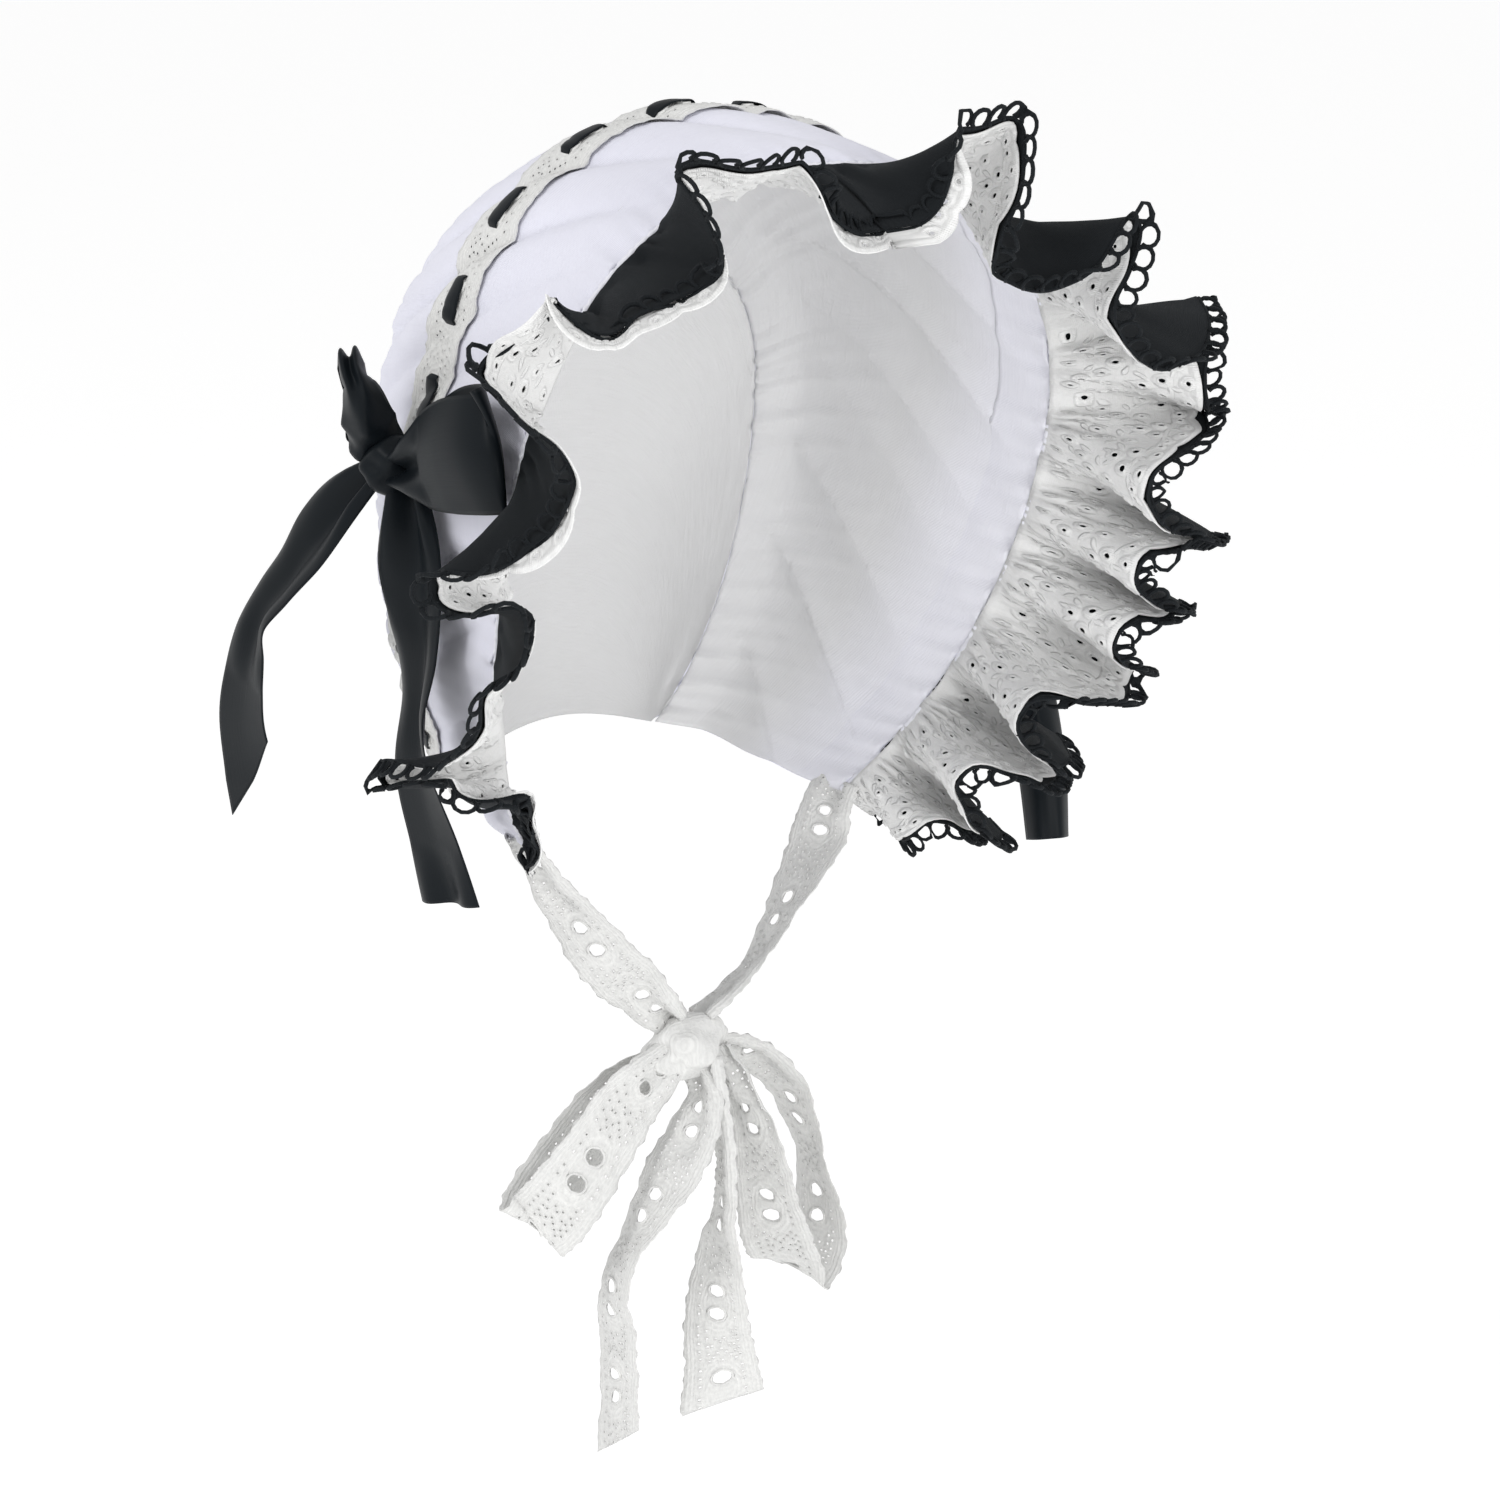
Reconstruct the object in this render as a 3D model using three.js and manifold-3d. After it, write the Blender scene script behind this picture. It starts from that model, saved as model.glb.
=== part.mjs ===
// Cotton bonnet with a double frill: millimetres, +Z up, the wearer faces -Y, their right hand is at -X.
// The origin is the inside of the crown's top, where the bonnet sits on a head.
import * as THREE from 'three';
import { mergeVertices } from 'three/addons/utils/BufferGeometryUtils.js';
import Module from 'manifold-3d';

const wasm = await Module();
wasm.setup();

// Driving dimensions
const COTTON = 1.5;            // wall of the hood, cloth and facing
const FRILL_CLOTH = 1.0;       // one layer of the frill
const LAYER_SPACING = 2.0;     // middle to middle of the two frill layers
const SEAM_GAP = 2.0;          // front seam to the roots of the frill
const FRILL_DEPTH = 60;        // root to free edge of the black layer
const EYELET_DEPTH = 56;       // root to hem of the eyelet layer
const PICOT_DEPTH = 10;        // loops past the black layer's edge
const PICOT_GAP = 1.0;
const OVERHANG = 20;           // how far a fold's upper wall sags over the next fold
const FULL_SWING = 60;         // degrees of flare that bring the whole sag
const TAPE_WIDTH = 28;         // beading lace on the crown
const TAPE_CLOTH = 0.8;
const RIBBON_WIDTH = 7;        // satin ribbon run through the lace
const RIBBON_CLOTH = 0.8;
const STITCH_PITCH = 40;       // from one bar of the lace to the next
const STITCH_START = 26;       // first bar, from the middle of the crown
const STITCH_MARGIN = 14;      // least distance from a bar to the lace's end
const TAPE_INSET = 2;          // the lace's ends above the hood's lower edge
const HOLE_SIZE = 9;
const HOLE_OFFSET = 6.2;       // hole's middle from its bar
const HOLE_CUT = 4;            // depth of the cut that makes a hole
const UNDER_HEIGHT = 1.75;     // ribbon's middle above the hood's middle surface, under the lace
const TAPE_HEIGHT = 3.1;
const OVER_HEIGHT = 4.4;
const RISE_START = 2.5;        // the ribbon climbs between these distances from a bar
const RISE_END = 9;
const PANEL_SHARE = 0.955;     // share of the crown's rear edge that the back panel's edge follows
const SATIN_CLOTH = 1.0;       // side bows
const TIE_CLOTH = 1.2;         // lace ties
const FIT_GAP = 0.3;

// A table of rows with named columns
const table = (columns, rows) =>
  rows.map((row) => Object.fromEntries(columns.map((name, i) => [name, row[i]])));

// Sections of the hood from the front seam (at 0) to the back panel's seam (at 1): each is an arch from
// one foot over the top to the other foot, and sweep bends its lower end back.
const HOOD = table(
  ['at', 'topY', 'topZ', 'halfWidth', 'wideZ', 'footHalf', 'footY', 'footZ', 'sweep'],
  [
    [0.00, -62, -14, 126, -138, 76, 24, -288, 2.0],
    [0.30, -25, -4, 121, -134, 74, 50, -288, 2.0],
    [0.60, 25, 0, 115, -128, 71, 82, -285, 1.8],
    [0.85, 80, -22, 106, -128, 64, 108, -279, 1.3],
    [1.00, 98, -52, 88, -132, 45, 117, -274, 1.3],
  ],
);
const ARCH_POWER = 0.92;
const LOWER_TURN = THREE.MathUtils.degToRad(62);
const PANEL_BULGE = 14;
const NAPE_BACK = 6;
const NAPE_RISE = 8;
const NAPE_INSET = 3;

// Folds of the frill from the foot on the wearer's right (at -1) over the top to the other foot (at 1).
// flare is the angle outward from straight ahead, curl its change from root to edge, slip a shift of the
// edge towards the foot, sag how far the wall above hangs over this fold, and reach the black layer's depth.
const FOLDS = table(
  ['at', 'flare', 'curl', 'slip', 'sag', 'reach'],
  [
    [-1.00, 50, 0, -4, 20, 18],
    [-0.87, 12, -10, -12, 20, 46],
    [-0.775, 100, 20, 0, 20, 54],
    [-0.60, 15, -10, -4, 20, 60],
    [-0.505, 52, 10, -2, 20, 60],
    [-0.43, 8, -10, 0, 20, 60],
    [-0.38, 58, 10, 0, 20, 60],
    [-0.315, 48, 10, -4, 20, 60],
    [-0.29, 18, -10, 6, 20, 60],
    [-0.215, 6, -10, 6, 20, 58],
    [-0.17, 48, 10, -2, 20, 58],
    [-0.095, 32, 0, 4, 20, 58],
    [-0.01, -6, -10, 2, 20, 60],
    [0.095, 36, 10, -2, 20, 60],
    [0.16, -20, -10, -4, 20, 60],
    [0.255, 24, 10, -2, 20, 60],
    [0.315, -10, -10, 0, 20, 60],
    [0.39, 64, 10, 0, 20, 60],
    [0.42, 30, 0, 0, 20, 60],
    [0.455, 60, 10, 4, 20, 60],
    [0.49, -6, -10, -6, 20, 60],
    [0.53, 54, 10, 12, 8, 66],
    [0.575, 0, -10, -6, 20, 60],
    [0.61, 56, 10, 8, 6, 64],
    [0.645, 4, -10, -6, 20, 60],
    [0.685, 56, 10, 8, 4, 62],
    [0.745, -20, -10, -8, 20, 60],
    [0.80, 74, 10, 4, 8, 60],
    [0.86, -20, -10, -12, 20, 60],
    [0.905, 80, 10, 4, 8, 58],
    [0.955, 20, -10, -6, 20, 36],
    [1.00, 90, 0, -6, 6, 20],
  ],
);

// Ribbons and ties: the middle line (x y z), the direction across (ax ay az), the width, and the fold
// of the ribbon along its middle in degrees.
const BAND = ['x', 'y', 'z', 'ax', 'ay', 'az', 'width', 'fold'];
const FRONT_LOOP = table(BAND, [
  [-130, 32, -130, 0, 0, 1, 14, 20],
  [-134, 20, -126, 0, 0, 1, 24, 10],
  [-140, -8, -117, -1, 0, 9, 39, 0],
  [-137, -27, -111, -1, 0, 9, 41, 0],
  [-130, -35, -112, -1, 0, 9, 42, 0],
  [-126, -22, -116, 0, 0, 1, 40, 0],
  [-125, 6, -124, 0, 0, 1, 30, 0],
  [-127, 24, -131, 0, 0, 1, 18, 0],
  [-129, 32, -134, 0, 0, 1, 12, 0],
]);
const BACK_LOOP = table(BAND, [
  [-131, 42, -127, -2, -9, 1, 14, 0],
  [-138, 46, -111, -2, -9, 1, 30, 0],
  [-143, 47, -95, -3, -9, 1, 36, 0],
  [-142, 47, -84, -3, -9, 1, 30, 0],
  [-136, 46, -92, -3, -9, 1, 34, 0],
  [-132, 45, -106, -2, -9, 1, 28, 0],
  [-129, 42, -122, -2, -9, 1, 14, 0],
]);
const BACK_TAIL = table(BAND, [
  [-132, 43, -134, 3, -4, 8, 16, 30],
  [-143, 64, -150, 5, -6, 6, 34, 45],
  [-149, 88, -181, 6, -7, 2, 38, 50],
  [-152, 104, -208, 6, -7, 0, 36, 55],
  [-154, 114, -236, 5, -8, 0, 38, 50],
  [-154, 113, -272, 5, -8, 0, 38, 48],
]);
const FRONT_TAIL = table(BAND, [
  [-131, 36, -138, 8, -5, 0, 18, 30],
  [-134, 19, -162, 8, -5, 0, 36, 45],
  [-132, 21, -195, 8, -5, 0, 40, 50],
  [-128, 34, -230, 8, -5, 0, 38, 55],
  [-124, 39, -264, 8, -5, 0, 38, 52],
  [-119, 30, -291, 8, -5, 0, 38, 48],
  [-117, 20, -307, 8, -5, 1, 38, 45],
]);
const FAR_FRONT_TAIL = table(BAND, [
  [131, 36, -139, 8, -5, 0, 18, 30],
  [147, 36, -168, 8, -5, 0, 36, 45],
  [170, 39, -222, 8, -5, 0, 38, 50],
  [178, 26, -262, 8, -5, 0, 38, 55],
  [177, 15, -293, 8, -5, 0, 36, 55],
  [175, 8, -322, 8, -5, 0, 34, 58],
]);
const BACK_CUT = 12;           // slant of the ribbon ends
const FRONT_CUT = -3;
const SIDE_KNOT = { x: 128.8, y: 40, z: -131, rx: 10, ry: 9, rz: 11 };

const RIGHT_TIE = table(BAND, [
  [-84, 26, -275, 2, -9, -4, 14, 0],
  [-75.4, 29, -284, 2, -9, -4, 15, 0],
  [-66, 28, -297, 5, -8, 1, 18, 0],
  [-55, 22, -313, 8, -6, 5, 23, 0],
  [-41, 19, -333, 8, -5, 7, 29, 10],
  [-22, 17, -361, 8, -5, 6, 24, 20],
  [-10, 15, -377, 8, -5, 6, 14, 20],
]);
const LEFT_TIE = table(BAND, [
  [84, 26, -275, -2, -9, -4, 14, 0],
  [75.4, 29, -284, -2, -9, -4, 15, 0],
  [65.5, 28, -297, 1, -9, -3, 21, 0],
  [55, 21, -314, 6, -7, -5, 26, 10],
  [39, 19, -341, 5, -8, -4, 22, 30],
  [23, 18, -362, 4, -8, -5, 20, 50],
  [-2, 16, -376, 4, -7, -6, 14, 30],
]);
const RIGHT_TIE_LOOP = table(BAND, [
  [-10, 10, -382, -6, 6, 5, 14, 20],
  [-24, 7, -389, -6, 5, 6, 24, 10],
  [-50, 3, -412, -6, 4, 6, 29, 0],
  [-72, 4, -439, -6, 4, 6, 30, 0],
  [-76, 8, -443, -6, 4, 6, 30, 0],
  [-70, 11, -437, -6, 4, 6, 30, 0],
  [-45, 13, -414, -6, 4, 6, 28, 0],
  [-24, 17, -393, -6, 5, 6, 22, 10],
  [-10, 18, -384, -6, 5, 6, 12, 20],
]);
const LEFT_TIE_LOOP = table(BAND, [
  [-4, 18, -382, 1, 3, -4, 14, 0],
  [14, 19, -391, 1, 4, -4, 22, 0],
  [40, 22, -408, 3, 7, -2, 28, 0],
  [61, 22, -443, 3, 8, 0, 29, 0],
  [68, 17, -478, 3, 7, 1, 30, 0],
  [58, 9, -492, 5, 4, 0, 30, 0],
  [43, 4, -481, 8, -2, 0, 30, 0],
  [31, 3, -450, 8, -5, 0, 29, 0],
  [17, 6, -414, 8, -5, 1, 24, 10],
  [-2, 10, -385, 8, -5, 1, 12, 20],
]);
const RIGHT_TIE_TAIL = table(BAND, [
  [-7, 20, -385, 8, -3, 5, 14, 20],
  [-21, 22, -421, 8, -3, 4, 28, 10],
  [-36, 23, -451, 8, -4, 3, 28, 10],
  [-42, 22, -478, 6, -8, 0, 28, 10],
  [-42, 21, -505, 5, -8, 0, 28, 10],
  [-43, 20, -546, 5, -8, 1, 28, 10],
]);
const LEFT_TIE_TAIL = table(BAND, [
  [-5, 6, -386, 8, -5, 0, 12, 30],
  [-4, 0, -420, 8, -5, 0, 14, 40],
  [-4, -3, -452, 8, -5, 0, 18, 40],
  [-3, -4, -482, 8, -5, 0, 26, 10],
  [-2, -4, -534, 8, -5, 0, 30, 0],
]);
const RIGHT_TIE_CUT = -6;
const LEFT_TIE_CUT = -2;
const TIE_KNOT = { x: -7, y: 14, z: -380, rx: 13, ry: 9, rz: 11 };

const COLOURS = {
  cotton: [0xe8e8f4, 0.9],
  eyelet: [0xe6e6e2, 0.9],
  black: [0x262b2d, 0.85],
  satin: [0x20262a, 0.35],
  tape: [0xe2e2dd, 0.9],
};

// Row of a table at any place, on a smooth curve through its rows
function rowAt(rows, at, places) {
  const last = rows.length - 1;
  let i = 0;
  while (i < last - 1 && at >= places[i + 1]) i += 1;
  const span = places[i + 1] - places[i];
  const t = THREE.MathUtils.clamp((at - places[i]) / span, 0, 1);
  const row = {};
  for (const name of Object.keys(rows[0])) {
    const slope = (j) => {
      const a = Math.max(j - 1, 0);
      const b = Math.min(j + 1, last);
      return ((rows[b][name] - rows[a][name]) / (places[b] - places[a])) * span;
    };
    const [from, to] = [rows[i][name], rows[i + 1][name]];
    row[name] =
      from + t * t * (3 - 2 * t) * (to - from)
      + t * (1 - t) ** 2 * slope(i) - t * t * (1 - t) * slope(i + 1);
  }
  return row;
}

const placesOf = (rows) => rows.map((row) => row.at);
const HOOD_PLACES = placesOf(HOOD);

// A point of the hood's middle surface: p runs back from the front seam, q from foot to foot
function hood(p, q) {
  const s = rowAt(HOOD, p, HOOD_PLACES);
  const side = q < 0 ? -1 : 1;
  const a = Math.abs(q);
  let x;
  let z;
  if (a <= 0.5) {
    const turn = a * Math.PI;
    x = s.halfWidth * Math.sin(turn) ** ARCH_POWER;
    z = s.wideZ + (s.topZ - s.wideZ) * Math.max(Math.cos(turn), 0) ** ARCH_POWER;
  } else {
    const turn = (a - 0.5) * 2 * LOWER_TURN;
    const inward = (1 - Math.cos(turn)) / (1 - Math.cos(LOWER_TURN));
    x = s.halfWidth - (s.halfWidth - s.footHalf) * inward;
    z = s.wideZ - ((s.wideZ - s.footZ) * Math.sin(turn)) / Math.sin(LOWER_TURN);
  }
  const drop = Math.max((s.topZ - z) / (s.topZ - s.footZ), 0);
  return new THREE.Vector3(side * x, s.topY + (s.footY - s.topY) * drop ** s.sweep, z);
}

// Directions at a point of the hood: down towards the foot, forward out of the hood, and outward
function hoodFrame(p, q) {
  const step = 0.004;
  const at = THREE.MathUtils.clamp(q, -1 + step, 1 - step);
  const back = Math.max(p, step);
  const down = hood(p, at + step).sub(hood(p, at - step)).normalize();
  if (q < 0) down.negate();
  const forward = hood(back - step, at).sub(hood(back + step, at));
  forward.addScaledVector(down, -forward.dot(down)).normalize();
  const out = new THREE.Vector3().crossVectors(forward, down).normalize();
  if (q < 0) out.negate();
  return { point: hood(p, q), down, forward, out };
}

// A closed sheet of cloth: a box whose long sides are bent onto surface(u, v), raised along its normal
function sheet(surface, uParts, vParts, thickness, raise = 0) {
  const geometry = new THREE.BoxGeometry(1, 1, 1, uParts, vParts, 1);
  const place = geometry.getAttribute('position');
  const step = 1e-3;
  for (let i = 0; i < place.count; i += 1) {
    const u = place.getX(i) + 0.5;
    const v = place.getY(i) + 0.5;
    const [u0, u1] = [Math.max(u - step, 0), Math.min(u + step, 1)];
    const [v0, v1] = [Math.max(v - step, 0), Math.min(v + step, 1)];
    const along = surface(u1, v).sub(surface(u0, v));
    const across = surface(u, v1).sub(surface(u, v0));
    const normal = along.cross(across).normalize();
    const point = surface(u, v).addScaledVector(normal, raise + place.getZ(i) * thickness);
    place.setXYZ(i, point.x, point.y, point.z);
  }
  // The box's last side gets the diagonals of the side opposite, so that nested sheets stay apart
  const corners = geometry.getIndex().array;
  const { start, count } = geometry.groups[5];
  for (let i = start; i < start + count; i += 6) {
    const [a, b, d, , c] = corners.slice(i, i + 6);
    corners.set([a, b, c, a, c, d], i);
  }
  return geometry;
}

// Closed mesh to manifold solid and back
function toSolid(geometry) {
  geometry.deleteAttribute('normal');
  geometry.deleteAttribute('uv');
  const merged = mergeVertices(geometry, 1e-5);
  return new wasm.Manifold(new wasm.Mesh({
    numProp: 3,
    vertProperties: new Float32Array(merged.getAttribute('position').array),
    triVerts: new Uint32Array(merged.index.array),
  }));
}

function toGeometry(solid) {
  const mesh = solid.getMesh();
  const geometry = new THREE.BufferGeometry();
  geometry.setAttribute('position', new THREE.BufferAttribute(mesh.vertProperties, 3));
  geometry.setIndex(new THREE.BufferAttribute(mesh.triVerts, 1));
  return geometry;
}

const bonnet = new THREE.Group();

function add(name, geometry, finish) {
  geometry.deleteAttribute('normal');
  geometry.deleteAttribute('uv');
  const merged = mergeVertices(geometry, 1e-5);
  merged.computeVertexNormals();
  const [color, roughness] = COLOURS[finish];
  const mesh = new THREE.Mesh(merged, new THREE.MeshStandardMaterial({ color, roughness, metalness: 0 }));
  mesh.name = name;
  bonnet.add(mesh);
}

// Crown: one cloth from the front seam to the back panel, over both sides
const crown = (u, v) => hood(v, 2 * u - 1);
add('crown', sheet(crown, 36, 8, COTTON), 'cotton');

// Back panel: its edge lies inside the crown's rear edge, it bulges back, and its lower edge is the nape
const FOOT = hood(1, 1);
function backPanel(u, v) {
  const q = (2 * u - 1) * PANEL_SHARE;
  const { point, out } = hoodFrame(1, q);
  point.addScaledVector(out, -(COTTON + 2 * FIT_GAP));
  const bow = Math.cos((q * Math.PI) / 2);
  const nape = new THREE.Vector3((FOOT.x - NAPE_INSET) * q, FOOT.y, FOOT.z);
  nape.add(new THREE.Vector3(0, NAPE_BACK * bow, NAPE_RISE * bow));
  const bulge = PANEL_BULGE * Math.sin(Math.PI * v ** 0.8) * bow;
  return point.lerp(nape, v).add(new THREE.Vector3(0, bulge, 0));
}
add('back_panel', sheet(backPanel, 16, 8, COTTON), 'cotton');

// Frill: each fold swings between lying ahead and standing out, and the wall from a fold that lies
// ahead down to the next one that stands out sags over it
const FOLD_PLACES = placesOf(FOLDS);

function foldAt(q) {
  let i = 0;
  while (i < FOLDS.length - 2 && q >= FOLD_PLACES[i + 1]) i += 1;
  const [from, to] = [FOLDS[i], FOLDS[i + 1]];
  const part = THREE.MathUtils.clamp((q - from.at) / (to.at - from.at), 0, 1);
  const ease = part * part * (3 - 2 * part);
  const fold = {};
  for (const name of ['flare', 'curl', 'slip', 'reach']) {
    fold[name] = THREE.MathUtils.lerp(from[name], to[name], ease);
  }
  const lower = from.at + to.at > 0 ? to : from;
  const upper = lower === to ? from : to;
  const swing = THREE.MathUtils.clamp((lower.flare - upper.flare) / FULL_SWING, -0.25, 1);
  fold.sag = lower.sag * Math.sin(Math.PI * part) * swing;
  return fold;
}

function frill(q, t) {
  const fold = foldAt(q);
  const { point, down, forward, out } = hoodFrame(0, q);
  const start = THREE.MathUtils.degToRad(fold.flare - fold.curl / 2);
  const turn = THREE.MathUtils.degToRad(fold.curl) || 1e-6;
  const ahead = (Math.sin(start + turn * t) - Math.sin(start)) / turn;
  const aside = (Math.cos(start) - Math.cos(start + turn * t)) / turn;
  const slip = (fold.slip * t * t + fold.sag * (t * t - 0.8 * t * (1 - t))) * (fold.reach / FRILL_DEPTH);
  return point
    .addScaledVector(forward, SEAM_GAP + fold.reach * ahead)
    .addScaledVector(out, fold.reach * aside)
    .addScaledVector(down, slip);
}

// Rows of the layers from root to edge, at the same places in both so that they nest
const WALL_PARTS = 3;          // steps from one fold to the next
const FRILL_PARTS = WALL_PARTS * (FOLDS.length - 1);
const EYELET_ROWS = [0, 0.45, EYELET_DEPTH / FRILL_DEPTH];
const BLACK_ROWS = [...EYELET_ROWS, 1];
const PICOT_ROWS = [1 + PICOT_GAP / FRILL_DEPTH, 1 + PICOT_DEPTH / FRILL_DEPTH];

// A layer over given rows: u steps evenly from fold to fold, v from the first row to the last
function frillLayer(rows) {
  const pick = (list, place) => {
    const i = Math.min(Math.floor(place), list.length - 2);
    return THREE.MathUtils.lerp(list[i], list[i + 1], place - i);
  };
  return (u, v) => frill(pick(FOLD_PLACES, u * (FOLDS.length - 1)), pick(rows, v * (rows.length - 1)));
}

function addFrill(name, rows, side, finish) {
  const raise = (side * LAYER_SPACING) / 2;
  add(name, sheet(frillLayer(rows), FRILL_PARTS, rows.length - 1, FRILL_CLOTH, raise), finish);
}

addFrill('eyelet_frill', EYELET_ROWS, 1, 'eyelet');
addFrill('black_frill', BLACK_ROWS, -1, 'black');
addFrill('picot_trim', PICOT_ROWS, -1, 'black');

// Beading lace over the crown, from foot to foot, and the ribbon run through it
const tapePlace = (q) => 0.56 + 0.22 * q * q;
const TAPE_STEPS = 240;
const tapeLengths = [0];
for (let i = 1; i <= TAPE_STEPS; i += 1) {
  const q0 = ((i - 1) / TAPE_STEPS) * 2 - 1;
  const q1 = (i / TAPE_STEPS) * 2 - 1;
  tapeLengths.push(tapeLengths[i - 1] + hood(tapePlace(q0), q0).distanceTo(hood(tapePlace(q1), q1)));
}
const TAPE_LENGTH = tapeLengths[TAPE_STEPS] - 2 * TAPE_INSET;

// Point of the tape: s along from the middle of the crown, y across towards the back, h above the hood
function onTape(s, y, h) {
  const wanted = s + tapeLengths[TAPE_STEPS] / 2;
  let i = 1;
  while (i < TAPE_STEPS && tapeLengths[i] < wanted) i += 1;
  const part = (wanted - tapeLengths[i - 1]) / (tapeLengths[i] - tapeLengths[i - 1]);
  const q = ((i - 1 + part) / TAPE_STEPS) * 2 - 1;
  const step = 0.01;
  const p = tapePlace(q);
  const stretch = hood(p + step, q).distanceTo(hood(p - step, q)) / (2 * step);
  const { point, out } = hoodFrame(p + y / stretch, q);
  return point.addScaledVector(out, h);
}

const stitches = [];
const lastStitch = TAPE_LENGTH / 2 - STITCH_MARGIN;
const firstStitch = STITCH_START - STITCH_PITCH * Math.floor((lastStitch + STITCH_START) / STITCH_PITCH);
for (let s = firstStitch; s < lastStitch; s += STITCH_PITCH) stitches.push(s);

const tape = (u, v) => onTape((u - 0.5) * TAPE_LENGTH, (0.5 - v) * TAPE_WIDTH, TAPE_HEIGHT);
let lace = toSolid(sheet(tape, 48, 3, TAPE_CLOTH));
for (const stitch of stitches) {
  for (const side of [-1, 1]) {
    const s = stitch + side * HOLE_OFFSET;
    const middle = onTape(s, 0, TAPE_HEIGHT);
    const along = onTape(s + 1, 0, TAPE_HEIGHT).sub(middle).normalize();
    const up = onTape(s, 0, TAPE_HEIGHT + 1).sub(middle).normalize();
    const across = new THREE.Vector3().crossVectors(up, along);
    const cutter = new THREE.BoxGeometry(HOLE_SIZE, HOLE_SIZE, HOLE_CUT);
    cutter.applyMatrix4(new THREE.Matrix4().makeBasis(along, across, up).setPosition(middle));
    lace = lace.subtract(toSolid(cutter));
  }
}
add('lace_band', toGeometry(lace), 'tape');

// The ribbon rises through one hole, crosses the bar and goes down the next
const RIBBON_BENDS = [-10.5, -6, -2, 2, 6, 10.5, 20];
function weave(s) {
  const away = Math.min(...stitches.map((stitch) => Math.abs(s - stitch)));
  const low = THREE.MathUtils.smoothstep(away, RISE_START, RISE_END);
  return THREE.MathUtils.lerp(OVER_HEIGHT, UNDER_HEIGHT, low);
}
const bends = stitches.flatMap((stitch) => RIBBON_BENDS.map((away) => stitch + away));
function ribbonRun(u, v) {
  const place = u * (bends.length - 1);
  const i = Math.min(Math.floor(place), bends.length - 2);
  const s = THREE.MathUtils.lerp(bends[i], bends[i + 1], place - i);
  return onTape(s, (0.5 - v) * RIBBON_WIDTH, weave(s));
}
add('threaded_ribbon', sheet(ribbonRun, bends.length - 1, 1, RIBBON_CLOTH), 'satin');

// Ribbons, loops and ties: a sheet along a table's middle line, cut on a slant at its free end
function band(rows, { mirror = 1, slant = 0 } = {}) {
  const places = rows.map((row, i) => i / (rows.length - 1));
  const middle = (u) => {
    const row = rowAt(rows, u, places);
    return new THREE.Vector3(row.x * mirror, row.y, row.z);
  };
  let length = 0;
  for (let i = 1; i <= 20; i += 1) length += middle(i / 20).distanceTo(middle((i - 1) / 20));
  return (u, v) => {
    const side = 2 * v - 1;
    const at = u + (slant / length) * side * u ** 6;
    const here = Math.min(at, 1);
    const row = rowAt(rows, here, places);
    const tangent = middle(Math.min(here + 0.01, 1)).sub(middle(Math.max(here - 0.01, 0))).normalize();
    const across = new THREE.Vector3(row.ax * mirror, row.ay, row.az);
    across.addScaledVector(tangent, -across.dot(tangent)).normalize();
    const face = new THREE.Vector3().crossVectors(across, tangent);
    const fold = THREE.MathUtils.degToRad(row.fold);
    const half = row.width / 2;
    const point = middle(here).addScaledVector(tangent, (at - here) * length);
    return point
      .addScaledVector(across, side * half * Math.cos(fold))
      .addScaledVector(face, (Math.abs(side) - 0.5) * half * Math.sin(fold));
  };
}

function knot({ x, y, z, rx, ry, rz }, mirror = 1, extra = 0) {
  const geometry = new THREE.SphereGeometry(1, 12, 7);
  geometry.scale(rx + extra, ry + extra, rz + extra);
  geometry.translate(x * mirror, y, z);
  return geometry;
}

const cutBy = (geometry, tool) => toGeometry(toSolid(geometry).subtract(toSolid(tool)));

const SIDES = { right: -1, left: 1 };
for (const [side, mirror] of Object.entries(SIDES)) {
  const clearance = () => knot(SIDE_KNOT, mirror, FIT_GAP);
  const pieces = {
    front_loop: sheet(band(FRONT_LOOP, { mirror: -mirror }), 16, 2, SATIN_CLOTH),
    back_loop: sheet(band(BACK_LOOP, { mirror: -mirror }), 12, 2, SATIN_CLOTH),
    back_tail: sheet(band(BACK_TAIL, { mirror: -mirror, slant: BACK_CUT }), 10, 2, SATIN_CLOTH),
    front_tail: side === 'right'
      ? sheet(band(FRONT_TAIL, { slant: FRONT_CUT }), 10, 2, SATIN_CLOTH)
      : sheet(band(FAR_FRONT_TAIL, { slant: FRONT_CUT }), 10, 2, SATIN_CLOTH),
  };
  add(`${side}_bow_knot`, knot(SIDE_KNOT, mirror), 'satin');
  for (const [name, geometry] of Object.entries(pieces)) {
    add(`${side}_bow_${name}`, cutBy(geometry, clearance()), 'satin');
  }
}

// Chin ties: one from each front corner of the hood to a knot, two loops and two tails
const ties = {
  right_tie: sheet(band(RIGHT_TIE), 8, 2, TIE_CLOTH),
  left_tie: sheet(band(LEFT_TIE), 8, 2, TIE_CLOTH),
  right_tie_loop: sheet(band(RIGHT_TIE_LOOP), 18, 2, TIE_CLOTH),
  left_tie_loop: sheet(band(LEFT_TIE_LOOP), 18, 2, TIE_CLOTH),
  right_tie_tail: sheet(band(RIGHT_TIE_TAIL, { slant: RIGHT_TIE_CUT }), 10, 2, TIE_CLOTH),
  left_tie_tail: sheet(band(LEFT_TIE_TAIL, { slant: LEFT_TIE_CUT }), 8, 2, TIE_CLOTH),
};
add('tie_knot', knot(TIE_KNOT), 'tape');
for (const [name, geometry] of Object.entries(ties)) {
  add(name, cutBy(geometry, knot(TIE_KNOT, 1, FIT_GAP)), 'tape');
}

export default bonnet;
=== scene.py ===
"""A cotton bonnet with a doubled frill, satin bows and lace ties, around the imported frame."""

import math
from types import SimpleNamespace

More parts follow.
